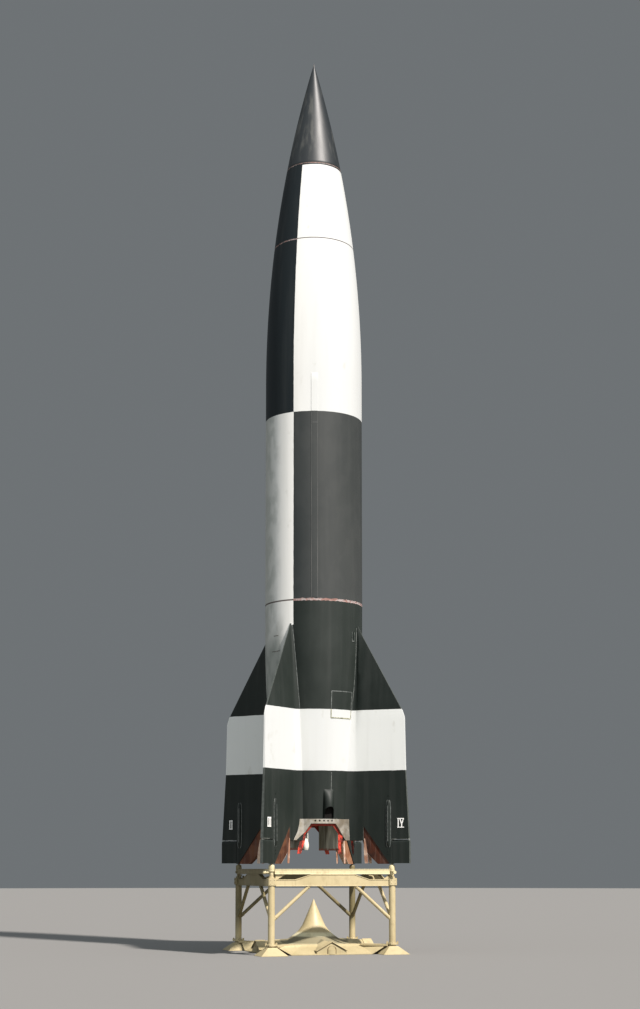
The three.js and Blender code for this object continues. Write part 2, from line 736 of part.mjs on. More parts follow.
const sideFrame = joined([lowerBeam, ...braces]);
const upperEnd = sideOut - JACK.cap - SEAT;
const upperBeam = plate(
  [
    [-upperEnd, UPPER_BEAM.bottom],
    [upperEnd, UPPER_BEAM.bottom],
    [upperEnd, UPPER_BEAM.top],
    [-upperEnd, UPPER_BEAM.top],
  ],
  sideOut - BEAM_DEPTH / 2,
  sideOut + BEAM_DEPTH / 2,
);
for (const [number, angle] of Object.entries(SIDE_NORMALS)) {
  addPiece(`side_frame_${number}`, geometryOf(sideFrame), 'cream').rotation.z = radians(angle);
  addPiece(`upper_beam_${number}`, geometryOf(upperBeam), 'cream').rotation.z = radians(angle);
}

// Base: a pressed sheet with lifted corners, a gabled ridge to each side and a tab to each collar
function baseRing(rows, lift, widen = 0) {
  const side = rows.map(([out, across, height]) => (
    point(out + widen, across * (1 + widen / out), height + lift)
  ));
  return Object.values(SIDE_NORMALS).map(radians).flatMap((turn) => (
    side.map((p) => p.clone().applyAxisAngle(point(0, 0, 1), turn))
  ));
}
const baseBlock = (lift, widen) => {
  const buried = baseRing(BASE_EDGE, lift, widen).map((p) => point(p.x, p.y, BASE.below - widen));
  return solid(lofted([buried, baseRing(BASE_EDGE, lift, widen), baseRing(BASE_FLAT, lift)]));
};
const EDGE_SLOPE = (BASE.height - BASE_EDGE[1][2]) / (BASE_EDGE[1][0] - BASE_FLAT[1][0]);
const OVERSIZE = 5; // reach of the hollow past the sheet's edge
const baseHollow = baseBlock(-BASE.sheet - OVERSIZE * EDGE_SLOPE, OVERSIZE);
const sheet = baseBlock(0, 0).subtract(baseHollow).trimByPlane([0, 0, 1], 0);
const gableRing = (out, widen, ridge) => [
  point(-GABLE.half - widen, 0, out),
  point(GABLE.half + widen, 0, out),
  point(GABLE.half + widen, GABLE.foot, out),
  point(0, ridge, out),
  point(-GABLE.half - widen, GABLE.foot, out),
];
const gable = solid(stood(lofted([gableRing(-40, 60, GABLE.middle), gableRing(GABLE.out, 0, GABLE.end)])));
const gables = Object.values(SIDE_NORMALS).map((angle) => turned(gable, angle));
const bridge = plate(
  [
    [-TAB.half, TAB.bottom],
    [TAB.half, TAB.bottom],
    [TAB.half, TAB.top],
    [-TAB.half, TAB.top],
  ],
  TAB.from,
  COLUMN_RADIUS - COLUMN_TUBE,
);
const collarWay = revolved(
  [
    [0, 0],
    [COLLAR.radius + SEAT, 0],
    [COLLAR.radius + SEAT, 400],
    [0, 400],
  ],
  16,
).translate([COLUMN_RADIUS, 0, 0]);
const tabs = Object.values(FIN_ANGLES).map((angle) => turned(bridge.subtract(collarWay), angle));
const base = joined([sheet, ...gables, ...tabs]);
addPiece('base_plate', geometryOf(base), 'cream');

// Flame deflector: a cone that flares into the base
const flare = revolved([[0, BASE.height + SEAT], ...DEFLECTOR_PROFILE], 32);
addPiece('deflector_cone', geometryOf(flare.subtract(base.translate([0, 0, SEAT])).subtract(base)), 'cream');

export default rocket;
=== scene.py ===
import math

import bmesh
import bpy
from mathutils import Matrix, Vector


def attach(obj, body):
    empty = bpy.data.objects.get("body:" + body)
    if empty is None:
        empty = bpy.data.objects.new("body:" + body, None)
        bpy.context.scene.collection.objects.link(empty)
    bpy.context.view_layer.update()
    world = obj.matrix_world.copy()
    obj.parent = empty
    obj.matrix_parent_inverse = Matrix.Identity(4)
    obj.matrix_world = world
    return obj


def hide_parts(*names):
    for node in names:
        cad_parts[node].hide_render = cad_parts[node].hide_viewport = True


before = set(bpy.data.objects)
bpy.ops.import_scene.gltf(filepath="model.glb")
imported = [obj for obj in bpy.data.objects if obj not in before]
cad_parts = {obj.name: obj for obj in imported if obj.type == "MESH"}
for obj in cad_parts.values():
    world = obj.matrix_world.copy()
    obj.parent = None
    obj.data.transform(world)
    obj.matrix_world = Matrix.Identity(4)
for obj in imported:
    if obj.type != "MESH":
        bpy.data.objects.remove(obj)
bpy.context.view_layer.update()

# Camera. It stands 28.7 m from the rocket, a little to its right and 1.40 m above the ground, and
# looks up by six degrees. The photograph is the upper part of a taller picture, which the shift repeats.
PICTURE_HEIGHT_PX = 1009
FOCAL_LENGTH_PX = 1701
LENS_AXIS_ROW_PX = 685.45
SENSOR_HEIGHT = 36.0
CAMERA_TURN = math.radians(27.5)
CAMERA_PITCH = math.radians(6.11)
CAMERA_DISTANCE = 28.67
CAMERA_ASIDE = 0.107
CAMERA_HEIGHT = 1.40
towards_camera = Vector((math.sin(CAMERA_TURN), -math.cos(CAMERA_TURN), 0))
right_of_camera = Vector((math.cos(CAMERA_TURN), math.sin(CAMERA_TURN), 0))
lens = bpy.data.cameras.new("photo_camera")
lens.sensor_width = SENSOR_HEIGHT
lens.lens = SENSOR_HEIGHT * FOCAL_LENGTH_PX / PICTURE_HEIGHT_PX
lens.shift_y = (LENS_AXIS_ROW_PX - PICTURE_HEIGHT_PX / 2) / PICTURE_HEIGHT_PX
lens.clip_end = 500
camera = bpy.data.objects.new("photo_camera", lens)
camera.location = towards_camera * CAMERA_DISTANCE + right_of_camera * CAMERA_ASIDE
camera.location.z = CAMERA_HEIGHT
camera.rotation_euler = (math.pi / 2 + CAMERA_PITCH, 0, CAMERA_TURN)
bpy.context.scene.collection.objects.link(camera)
bpy.context.scene.camera = camera

# Studio. A pale floor under a plain soft sky that is brightest high up in front, and one large soft
# lamp high in front of the rocket on the right. The lamp is warm and the sky a little cool.
LAMP_TURN = CAMERA_TURN - math.radians(50)
LAMP_RISE = math.radians(48)
LAMP_STRENGTH = 7.8
LAMP_SPREAD = math.radians(3)
LAMP_COLOUR = (1.0, 0.93, 0.88)
SKY_COLOUR = (0.92, 1.0, 1.05, 1)
SKY_DARK = 0.17
SKY_BRIGHT = 0.80
SKY_FROM = -0.2
SKY_TO = 0.95
SKY_TURN = math.radians(-60)
SKY_RISE = math.radians(40)
FLOOR_RADIUS = 90.0
FLOOR_SIDES = 96
FLOOR_COLOUR = (0.165, 0.163, 0.157, 1)
FLOOR_ROUGHNESS = 0.9
FLOOR_DROP = 0.002


def feed(tree, node, values):
    """Sets inputs of a shader node to numbers or colours, or links them to the outputs given."""
    for name, value in values.items():
        value = getattr(value, "socket", value)
        if isinstance(value, bpy.types.NodeSocket):
            tree.links.new(value, node.inputs[name])
        else:
            node.inputs[name].default_value = value


def add_node(tree, kind, values=None, **settings):
    node = tree.nodes.new("ShaderNode" + kind)
    for name, value in settings.items():
        setattr(node, name, value)
    feed(tree, node, values or {})
    return node


def pointing(turn, rise):
    """A unit vector from its turn about the rocket and its rise above the ground."""
    return math.cos(rise) * math.cos(turn), math.cos(rise) * math.sin(turn), math.sin(rise)


lamp = bpy.data.lights.new("soft_lamp", "SUN")
lamp.energy = LAMP_STRENGTH
lamp.angle = LAMP_SPREAD
lamp.color = LAMP_COLOUR
lamp_stand = bpy.data.objects.new("soft_lamp", lamp)
lamp_stand.rotation_euler = Vector(pointing(LAMP_TURN, LAMP_RISE)).to_track_quat("Z", "Y").to_euler()
bpy.context.scene.collection.objects.link(lamp_stand)
sky = bpy.data.worlds.new("pale_sky")
sky.use_nodes = True
direction = add_node(sky.node_tree, "TexCoord").outputs["Generated"]
brightest = {0: direction, 1: pointing(SKY_TURN, SKY_RISE)}
nearness = add_node(sky.node_tree, "VectorMath", brightest, operation="DOT_PRODUCT").outputs["Value"]
glow = {"Value": nearness, "From Min": SKY_FROM, "From Max": SKY_TO, "To Min": SKY_DARK, "To Max": SKY_BRIGHT}
strength = add_node(sky.node_tree, "MapRange", glow, interpolation_type="SMOOTHSTEP").outputs[0]
feed(sky.node_tree, sky.node_tree.nodes["Background"], {"Color": SKY_COLOUR, "Strength": strength})
bpy.context.scene.world = sky
bpy.context.scene.view_settings.view_transform = "Standard"
floor_turns = [math.tau * i / FLOOR_SIDES for i in range(FLOOR_SIDES)]
floor_edge = [(FLOOR_RADIUS * math.cos(t), FLOOR_RADIUS * math.sin(t), -FLOOR_DROP) for t in floor_turns]
floor_mesh = bpy.data.meshes.new("studio_floor")
floor_mesh.from_pydata(floor_edge, [], [list(range(FLOOR_SIDES))])
floor_paint = bpy.data.materials.new("floor_paint")
floor_paint.use_nodes = True
floor_look = {"Base Color": FLOOR_COLOUR, "Roughness": FLOOR_ROUGHNESS}
feed(floor_paint.node_tree, floor_paint.node_tree.nodes["Principled BSDF"], floor_look)
floor_mesh.materials.append(floor_paint)
floor = bpy.data.objects.new("studio_floor", floor_mesh)
bpy.context.scene.collection.objects.link(floor)


# Nose cone. Sheet steel spun to a slim ogive with a turned steel point, sprayed semi-gloss black.
# Rain has drawn streaks down the gloss, and the joint to the section below shows as a thin bare line.
FIN_BASE = 1.46
BODY_RADIUS = 0.8255
OGIVE_START = FIN_BASE + 8.20
INSTRUMENT_TOP = FIN_BASE + 12.03
NOSE_TIP = FIN_BASE + 14.03
NOSE_POINT = 0.12
NOSE_FLAT = 0.006
SEAM_WIDTH = 0.005
SEAM_DEPTH = 0.004
CLEAR = 0.0003
NOSE_BLACK = (0.008, 0.011, 0.013, 1)
NOSE_WASHED = (0.048, 0.050, 0.046, 1)
NOSE_JOINT = (0.19, 0.145, 0.125, 1)
NOSE_STEEL = (0.055, 0.052, 0.048, 1)
ogive_length = NOSE_TIP - OGIVE_START
ogive_arc = (BODY_RADIUS ** 2 + ogive_length ** 2) / (2 * BODY_RADIUS)


def ogive(height):
    """Radius of the body at a height above the tail section."""
    rise = max(0.0, height - OGIVE_START)
    return math.sqrt(ogive_arc ** 2 - rise ** 2) - ogive_arc + BODY_RADIUS


def evenly(start, end, steps):
    """Numbers from start to end, both included, in equal steps."""
    return [start + (end - start) * i / steps for i in range(steps + 1)]


def lathe(profile, sides=160, closed=False):
    """Points and faces of a surface turned about the vertical axis, from (radius, height) pairs."""
    turns = [math.tau * i / sides for i in range(sides)]
    points = [
        (radius * math.cos(t), radius * math.sin(t), height) for radius, height in profile for t in turns
    ]
    faces = []
    for row in range(len(profile) if closed else len(profile) - 1):
        above = (row + 1) % len(profile)
        for i in range(sides):
            after = (i + 1) % sides
            faces.append([row * sides + i, row * sides + after, above * sides + after, above * sides + i])
    return points, faces


def make_piece(name, part, finish, slot, replaces="", body="airframe", sharp=30, bevel=0.0):
    """One object of the scene: a welded mesh with its finish, riding on a body."""
    mesh = bpy.data.meshes.new(name)
    mesh.from_pydata(part[0], [], part[1])
    form = bmesh.new()
    form.from_mesh(mesh)
    bmesh.ops.remove_doubles(form, verts=form.verts, dist=2e-5)
    bmesh.ops.dissolve_degenerate(form, edges=form.edges, dist=1e-6)
    bmesh.ops.recalc_face_normals(form, faces=form.faces)
    form.to_mesh(mesh)
    form.free()
    mesh.shade_smooth()
    mesh.set_sharp_from_angle(angle=math.radians(sharp))
    mesh.materials.append(finish)
    piece = bpy.data.objects.new(name, mesh)
    bpy.context.scene.collection.objects.link(piece)
    if bevel:
        rounding = piece.modifiers.new("rounded_edges", "BEVEL")
        rounding.width = bevel
        rounding.segments = 2
        rounding.limit_method = "ANGLE"
        rounding.angle_limit = math.radians(sharp + 10)
        rounding.harden_normals = True
    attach(piece, body)
    if replaces:
        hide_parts(replaces)


class Tone:
    """A value that varies over a piece. Sums with it become Math nodes."""

    def __init__(self, tree, socket):
        self.tree = tree
        self.socket = socket

    def sum(self, operation, *values):
        node = add_node(self.tree, "Math", dict(enumerate(values)), operation=operation)
        return Tone(self.tree, node.outputs[0])

    def __add__(self, other):
        return self.sum("ADD", self, other)

    def __sub__(self, other):
        return self.sum("SUBTRACT", self, other)

    def __rsub__(self, other):
        return self.sum("SUBTRACT", other, self)

    def __mul__(self, other):
        return self.sum("MULTIPLY", self, other)

    def __truediv__(self, other):
        return self.sum("DIVIDE", self, other)

    def __abs__(self):
        return self.sum("ABSOLUTE", self)

    def root(self):
        return self.sum("SQRT", self)

    def or_more(self, other):
        return self.sum("MAXIMUM", self, other)

    def rises(self, low, high):
        """0 below low, 1 above high and smooth between them."""
        ends = {"Value": self, "From Min": low, "From Max": high}
        node = add_node(self.tree, "MapRange", ends, interpolation_type="SMOOTHSTEP")
        return Tone(self.tree, node.outputs[0])

    def falls(self, low, high):
        return 1 - self.rises(low, high)

    def within(self, low, high, soft=0.002):
        """1 between low and high, 0 outside them."""
        return self.rises(low - soft, low + soft) - self.rises(high - soft, high + soft)


class Finish:
    """A material in the making."""

    def __init__(self, name):
        self.material = bpy.data.materials.new(name)
        self.material.use_nodes = True
        self.tree = self.material.node_tree
        self.place = add_node(self.tree, "TexCoord").outputs

    def along(self, place="Object"):
        """The point on the piece in metres, or its facing, as three tones."""
        ends = add_node(self.tree, "SeparateXYZ", {0: self.place[place]}).outputs
        return [Tone(self.tree, end) for end in ends]

    def clouds(self, scale, detail=3.0, stretch=(1, 1, 1)):
        """Cloudy noise about 0.5, with lumps of roughly one over scale in metres."""
        spread = add_node(self.tree, "Mapping", {"Vector": self.place["Object"], "Scale": stretch}).outputs[0]
        noise = add_node(self.tree, "TexNoise", {"Vector": spread, "Scale": scale, "Detail": detail})
        return Tone(self.tree, noise.outputs[0])

    def blend(self, share, first, second):
        """Two colours mixed by a share."""
        return add_node(self.tree, "Mix", {0: share, 6: first, 7: second}, data_type="RGBA").outputs[2]

    def coat(self, colour, roughness, relief, gloss=0.5, metal=0.0):
        """The material with its colour, its roughness and a relief in metres."""
        bump = add_node(self.tree, "Bump", {"Height": relief, "Distance": 1.0}).outputs[0]
        look = {"Base Color": colour, "Roughness": roughness, "Normal": bump}
        look |= {"Specular IOR Level": gloss, "Metallic": metal}
        feed(self.tree, self.tree.nodes["Principled BSDF"], look)
        return self.material


def nose_paint():
    paint = Finish("nose_gloss_black")
    up = paint.along()[2]
    patches = paint.clouds(2.2, 5, (1, 1, 0.5))
    washed = paint.clouds(9, 4, (1, 1, 0.10)).rises(0.45, 0.66) * patches.rises(0.38, 0.62)
    colour = paint.blend(washed, NOSE_BLACK, NOSE_WASHED)
    colour = paint.blend(up.falls(INSTRUMENT_TOP + 0.006, INSTRUMENT_TOP + 0.012), colour, NOSE_JOINT)
    colour = paint.blend(up.rises(NOSE_TIP - 0.055, NOSE_TIP - 0.045), colour, NOSE_STEEL)
    relief = paint.clouds(3.1, 2, (1, 1, 0.4)) * 0.003 + paint.clouds(60, 2) * 0.0003
    return paint.coat(colour, patches * 0.20 + 0.38, relief)


nose_profile = [(0.0, INSTRUMENT_TOP + CLEAR), (ogive(INSTRUMENT_TOP) - SEAM_DEPTH, INSTRUMENT_TOP + CLEAR)]
for height in evenly(INSTRUMENT_TOP + SEAM_WIDTH, NOSE_TIP - NOSE_POINT, 44):
    nose_profile.append((ogive(height), height))
for share in (0.25, 0.5, 0.75, 0.9):
    height = NOSE_TIP - NOSE_POINT * (1 - share)
    nose_profile.append((max(ogive(height) * 0.98, NOSE_FLAT + 0.001), height))
nose_profile += [(NOSE_FLAT, NOSE_TIP - 0.004), (0.0, NOSE_TIP - 0.0005)]
make_piece("nose_skin", lathe(nose_profile), nose_paint(), "nose_paint", "nose_cone", sharp=50)


# Instrument and tank sections. Rolled steel skins over rings and stringers, painted in black and white
# halves that change over half-way up. Filler and red primer show through at the ring joints.
TAIL_TOP = FIN_BASE + 4.36
PAINT_CHANGE = FIN_BASE + 7.55
TANK_TOP = FIN_BASE + 10.61
WHITE_TOP = INSTRUMENT_TOP - 0.034
BAND_BOTTOM = FIN_BASE + 1.53
BAND_TOP = FIN_BASE + 2.54
SPLIT_TURN = math.radians(3.5)
FIN_APEX = FIN_BASE + 3.95
BLACK = (0.0045, 0.008, 0.006, 1)
BLACK_CHALKED_LIT = (0.017, 0.022, 0.019, 1)
BLACK_STREAKED = (0.075, 0.078, 0.074, 1)
UPPER_BLACK = (0.004, 0.008, 0.010, 1)
TANK_BLACK = (0.017, 0.021, 0.021, 1)
TANK_CHALKED_LIT = (0.039, 0.0425, 0.041, 1)
WHITE = (0.68, 0.68, 0.65, 1)
WHITE_DIMMED_LAMP_SIDE = (0.475, 0.490, 0.484, 1)
WHITE_STREAKED = (0.42, 0.43, 0.40, 1)
WHITE_SMUDGED = (0.34, 0.33, 0.28, 1)
BAND_WHITE = (0.61, 0.625, 0.605, 1)
# painted shade on the side away from the lamp, given as grime
SHADE_SIDE_GRIME = (0.19, 0.21, 0.19, 1)
SHADE_SIDE_TURN = math.radians(-160)
# the side facing the lamp, where black is painted lighter and white darker as painted light
LAMP_SIDE_TURN = math.radians(-20)
PRIMER = (0.25, 0.14, 0.12, 1)
PRIMER_CHALKED = (0.33, 0.28, 0.27, 1)
FILLER = (0.055, 0.034, 0.028, 1)
WORN = (0.075, 0.085, 0.078, 1)
RUBBED_BARE = (0.30, 0.31, 0.28, 1)
PAINTED_FILLET = 0.878
FILLET_SLOPE = -0.053
LEADING_REACH = 3.064
LEADING_SLOPE = -0.5615
SEAMS = (
    # height, half width on black paint, half width on white paint
    (INSTRUMENT_TOP, 0.007, 0.005),
    (TANK_TOP, 0.008, 0.008),
    (TAIL_TOP, 0.018, 0.013),
)


def field_paint():
    """Black with a white band round the tail and fins, and above the band the halves that change over."""
    paint = Finish("body_black_and_white")
    x, y, z = paint.along()
    east, north, _ = paint.along("Normal")
    reach = (x * x + y * y).root()
    rise = z - FIN_BASE

    # where the paint is white
    wander = paint.clouds(7) * 0.010 - 0.005
    up = z + wander
    across = x * math.cos(SPLIT_TURN) + y * (z.rises(FIN_APEX - 0.025, FIN_APEX) * math.sin(SPLIT_TURN))
    fourth_side = (across + wander).rises(-0.002, 0.002)
    upper = up.rises(PAINT_CHANGE - 0.002, PAINT_CHANGE + 0.002)
    fillet_end = ((z - BAND_TOP) * FILLET_SLOPE + PAINTED_FILLET).or_more(BODY_RADIUS + 0.004)
    on_skin = (reach - fillet_end).falls(-0.002, 0.002).or_more(z.rises(FIN_APEX + 0.10, FIN_APEX + 0.12))
    halves = (1 - abs(fourth_side - upper)) * z.within(BAND_TOP, WHITE_TOP) * on_skin
    band = up.within(BAND_BOTTOM, BAND_TOP)
    white = band.or_more(halves)

    # weather and painted light: patchy chalk, plus painted light on the lamp's side (black lighter, white
    # darker); painted shade, given as grime, on the far side; rain runs
    # painted light: lamp_side marks the faces turned to the lamp, where black gets lighter and white darker
    lamp_side = (east * math.cos(LAMP_SIDE_TURN) + north * math.sin(LAMP_SIDE_TURN)).rises(0.35, 0.90)
    fading = paint.clouds(0.9, 4, (1, 1, 0.45)).rises(0.36, 0.66)
    runs = paint.clouds(8, 4, (1, 1, 0.045)).rises(0.46, 0.74)
    smudges = paint.clouds(5.5, 5, (1, 1, 0.6)).rises(0.63, 0.74)
    mottle = paint.clouds(4.5, 6, (1, 1, 0.7)).rises(0.44, 0.62)
    tank_side = z.within(TAIL_TOP, PAINT_CHANGE)
    fresh_black = paint.blend(tank_side, paint.blend(upper, BLACK, UPPER_BLACK), TANK_BLACK)
    lit_chalked_black = paint.blend(tank_side, BLACK_CHALKED_LIT, TANK_CHALKED_LIT)
    lit_chalked_black = paint.blend(upper, lit_chalked_black, fresh_black)
    chalk_and_light = lamp_side * 0.5 + mottle * 0.15 + fading * 0.35
    chalk_and_light = chalk_and_light * (z.rises(BAND_BOTTOM, BAND_TOP) * 0.3 + 0.7)
    black_paint = paint.blend(chalk_and_light, fresh_black, lit_chalked_black)
    black_paint = paint.blend(runs * 0.10, black_paint, BLACK_STREAKED)
    # painted light: white is darker where it faces the lamp
    white_paint = paint.blend(lamp_side, paint.blend(band, WHITE, BAND_WHITE), WHITE_DIMMED_LAMP_SIDE)
    white_paint = paint.blend(runs * 0.16, white_paint, WHITE_STREAKED)
    white_paint = paint.blend(smudges * 0.25, white_paint, WHITE_SMUDGED)
    # painted shade, given as grime: white darkens on the side away from the lamp, and more on the tail
    shade_side = x * math.cos(SHADE_SIDE_TURN) + y * math.sin(SHADE_SIDE_TURN) + mottle * 0.06
    tail_shade = z.falls(TAIL_TOP - 0.9, TAIL_TOP - 0.1) * shade_side.rises(0.36, 0.50)
    shade_and_grime = (shade_side.rises(0.48, 0.76) * 0.76).or_more(tail_shade) * (mottle * 0.12 + 0.82) * (1 - band)
    white_paint = paint.blend(shade_and_grime, white_paint, SHADE_SIDE_GRIME)
    colour = paint.blend(white, black_paint, white_paint)

    # edges rubbed light
    patchy = paint.clouds(26, 4).rises(0.38, 0.62)
    from_edge = abs(rise * LEADING_SLOPE + LEADING_REACH - reach)
    leading_edge = from_edge.falls(0.002, 0.016) * reach.within(PAINTED_FILLET, 1.66)
    outward = ((east * x + north * y) / reach).rises(0.55, 0.80)
    outer_face = outward * reach.rises(BODY_RADIUS + 0.012, BODY_RADIUS + 0.016)
    edge = (leading_edge * 0.5).or_more(outer_face) * (1 - white)
    colour = paint.blend(edge * (patchy * 0.3 + 0.6), colour, WORN)
    over_rudder = rise.within(0.383, 0.408) * reach.rises(1.46, 1.48) * patchy
    colour = paint.blend(over_rudder * 0.7, colour, RUBBED_BARE)

    # ring joints
    ragged = paint.clouds(22, 6, (1, 1, 2)) * 0.036 - 0.018
    primer_tone = paint.blend(paint.clouds(13, 5).rises(0.40, 0.62), PRIMER, PRIMER_CHALKED)
    sunken = white * 0.0
    for height, on_black, on_white in SEAMS:
        away = abs(z - height)
        chipped = (away + ragged).within(-1.0, on_black) * (1 - white)
        worn = away.within(-1.0, on_white) * white
        colour = paint.blend(chipped, colour, primer_tone)
        colour = paint.blend(worn * 0.85, colour, FILLER)
        sunken = sunken.or_more(chipped).or_more(worn)
    roughness = paint.clouds(1.7, 4, (1, 1, 0.5)) * 0.14 + 0.48 + sunken * 0.2
    relief = paint.clouds(1.9, 2, (1, 1, 0.3)) * 0.005 + paint.clouds(70, 2) * 0.0003 - sunken * 0.0008
    return paint.coat(colour, roughness, relief, gloss=0.25)


def body_section(bottom, top, rows):
    """A closed section of the body with a shallow groove at each end."""
    profile = [(0.0, bottom), (ogive(bottom) - SEAM_DEPTH, bottom)]
    profile += [(ogive(height), height) for height in evenly(bottom + SEAM_WIDTH, top - SEAM_WIDTH, rows)]
    return lathe(profile + [(ogive(top) - SEAM_DEPTH, top), (0.0, top)])


body_paint = field_paint()
instrument = body_section(TANK_TOP + CLEAR, INSTRUMENT_TOP, 24)
make_piece("instrument_skin", instrument, body_paint, "body_paint", "instrument_section", sharp=25)
tank = body_section(TAIL_TOP + CLEAR, TANK_TOP, 90)
make_piece("tank_skin", tank, body_paint, "body_paint", "tank_section", sharp=25)


# Cable cover. A shallow pressed strip over the leads up the tank section, riveted along both edges
# and sprayed with the body. The paint built up along its edges, and a seam across it, are painted light as a
# painted highlight.
COVER_FROM = math.radians(-65.3)
COVER_TO = math.radians(-57.6)
COVER_PROUD = 0.0068
COVER_BOTTOM = TAIL_TOP + 0.03
COVER_SEAM = PAINT_CHANGE - 0.20
COVER_EDGE = 0.0025 / BODY_RADIUS
RIDGE = 0.006 / BODY_RADIUS
RIVET_PITCH = 0.12
RIVET_IN = 0.011
RIDGE_BLACK = (0.050, 0.052, 0.050, 1)
RIDGE_HIGHLIGHT = (0.095, 0.096, 0.092, 1)


def joined(parts):
    """Several (points, faces) pairs as one."""
    points = []
    faces = []
    for part_points, part_faces in parts:
        first = len(points)
        points += part_points
        faces += [[first + i for i in face] for face in part_faces]
    return points, faces


def shell_between(front, back, present=None):
    """A plate between two grids of points, left open where a cell isn't present."""
    rows = len(front)
    columns = len(front[0])
    points = [point for grid in (front, back) for line in grid for point in line]
    cells = [(r, c) for r in range(rows - 1) for c in range(columns - 1) if not present or present(r, c)]
    known = set(cells)
    faces = []
    for r, c in cells:
        near = [a * columns + b for a, b in ((r, c), (r, c + 1), (r + 1, c + 1), (r + 1, c))]
        far = [rows * columns + i for i in near]
        faces += [near, far[::-1]]
        for side, beside in enumerate([(r - 1, c), (r, c + 1), (r + 1, c), (r, c - 1)]):
            if beside not in known:
                after = (side + 1) % 4
                faces.append([near[after], near[side], far[side], far[after]])
    return points, faces


def sheet(rows, near, far, present=None):
    """A plate from rows of (rise, places), whose two faces give the point for a place and a rise."""
    grids = [[[face(place, rise) for place in places] for rise, places in rows] for face in (near, far)]
    return shell_between(*grids, present)


def lofted(rings):
    """A closed form through rings of equal point counts."""
    count = len(rings[0])
    points = [point for ring in rings for point in ring]
    faces = [list(range(count))[::-1], list(range(len(points) - count, len(points)))]
    for row in range(0, len(points) - count, count):
        for i in range(count):
            after = (i + 1) % count
            faces.append([row + i, row + after, row + count + after, row + count + i])
    return points, faces


def spun(centre, out, rings, sides):
    """A closed form about an axis, from (radius, height along the axis) pairs."""
    middle = Vector(centre)
    out = Vector(out).normalized()
    first = out.orthogonal().normalized()
    second = out.cross(first)
    turns = [math.tau * i / sides for i in range(sides)]
    spokes = [first * math.cos(t) + second * math.sin(t) for t in turns]
    return lofted([
        [tuple(middle + spoke * radius + out * height) for spoke in spokes] for radius, height in rings
    ])


def dome_head(centre, radius, proud):
    """A low round rivet or screw head on an upright skin."""
    shape = ((1.0, -0.3), (1.0, 0.1), (0.7, 0.75), (0.0, 1.0))
    return spun(centre, (centre[0], centre[1], 0), [(radius * wide, proud * high) for wide, high in shape], 8)


def on_body(radius, angle, height):
    return radius * math.cos(angle), radius * math.sin(angle), height


def cover_outside(angle, height):
    low = angle in (COVER_FROM, COVER_TO) or height in (COVER_BOTTOM, OGIVE_START)
    return on_body(BODY_RADIUS + (COVER_PROUD * 0.6 if low else COVER_PROUD), angle, height)


def cover_seam(start, end, low, high):
    """A thin built-up line of paint on the cover, painted light as a painted highlight."""
    return sheet(
        [(height, evenly(start, end, 4)) for height in evenly(low, high, 20)],
        lambda angle, height: on_body(BODY_RADIUS + COVER_PROUD + 0.001, angle, height),
        lambda angle, height: on_body(BODY_RADIUS, angle, height),
    )


def patchy_paint(
    name, fresh, faded, scale, between=(0.38, 0.62), dull=0.5, relief=0.0004, gloss=0.5, **noise
):
    """Plain paint of two tones, one of them in patches."""
    paint = Finish(name)
    patches = paint.clouds(scale, **noise)
    if between:
        patches = patches.rises(*between)
    return paint.coat(paint.blend(patches, fresh, faded), patches * 0.1 + dull, patches * relief, gloss)


cover_angles = evenly(COVER_FROM + 0.01, COVER_TO - 0.01, 8)
cover_angles = [COVER_FROM, COVER_FROM + COVER_EDGE, *cover_angles, COVER_TO - COVER_EDGE, COVER_TO]
cover_heights = evenly(COVER_BOTTOM + 0.01, OGIVE_START - 0.01, 30)
cover_heights = [COVER_BOTTOM, COVER_BOTTOM + 0.003, *cover_heights, OGIVE_START]
cover_rows = [(height, cover_angles) for height in cover_heights]
cover_parts = [
    sheet(cover_rows, cover_outside, lambda angle, height: on_body(BODY_RADIUS - 0.002, angle, height))
]
for row in range(int((OGIVE_START - COVER_BOTTOM) / RIVET_PITCH)):
    height = COVER_BOTTOM + RIVET_PITCH * (row + 0.5)
    for angle in (COVER_FROM + RIVET_IN, COVER_TO - RIVET_IN):
        cover_parts.append(dome_head(on_body(BODY_RADIUS + COVER_PROUD, angle, height), 0.006, 0.002))
make_piece("cable_strip", joined(cover_parts), body_paint, "body_paint", "cable_cover")
cover_seams = [
    cover_seam(COVER_FROM, COVER_FROM + RIDGE, COVER_BOTTOM, PAINT_CHANGE - 0.002),
    cover_seam(COVER_TO - RIDGE, COVER_TO, COVER_BOTTOM, PAINT_CHANGE - 0.002),
    cover_seam(COVER_FROM + 0.02, COVER_TO, COVER_SEAM, COVER_SEAM + 0.010),
]
# painted highlight: the raised lines are painted much lighter than the black body
ridge_highlight_paint = patchy_paint(
    "ridge_painted_highlight",
    RIDGE_BLACK,
    RIDGE_HIGHLIGHT,
    5,
    (0.36, 0.64),
    relief=0.0003,
    detail=5,
    stretch=(1, 1, 0.3),
)
make_piece("cable_strip_ridges", joined(cover_seams), ridge_highlight_paint, "body_paint")


# Tail shell. Rolled and riveted steel skin that tapers to a skirt with four cut-outs, one between each
# two fins. It is open below, and carries the body's paint inside and out.
TAIL_ROWS = (
    # height above the fins' feet, outside radius
    (0.385, 0.655),
    (0.730, 0.675),
    (1.400, 0.712),
    (2.000, 0.744),
    (2.610, 0.778),
    (2.930, 0.804),
    (3.500, 0.821),
    (4.360, 0.8255),
)
OPENING_LEFT = ((0.380, -0.500), (0.512, -0.332), (0.660, -0.244))
OPENING_RIGHT = ((0.380, 0.385), (0.660, 0.179))
OPENING_TOP = 0.660
SKIRT_BOTTOM = 0.385
TAIL_WALL = 0.012
TAIL_ROOF = 4.21
SIDE_TURNS = {1: 45, 2: 135, 3: 225, 4: 315}


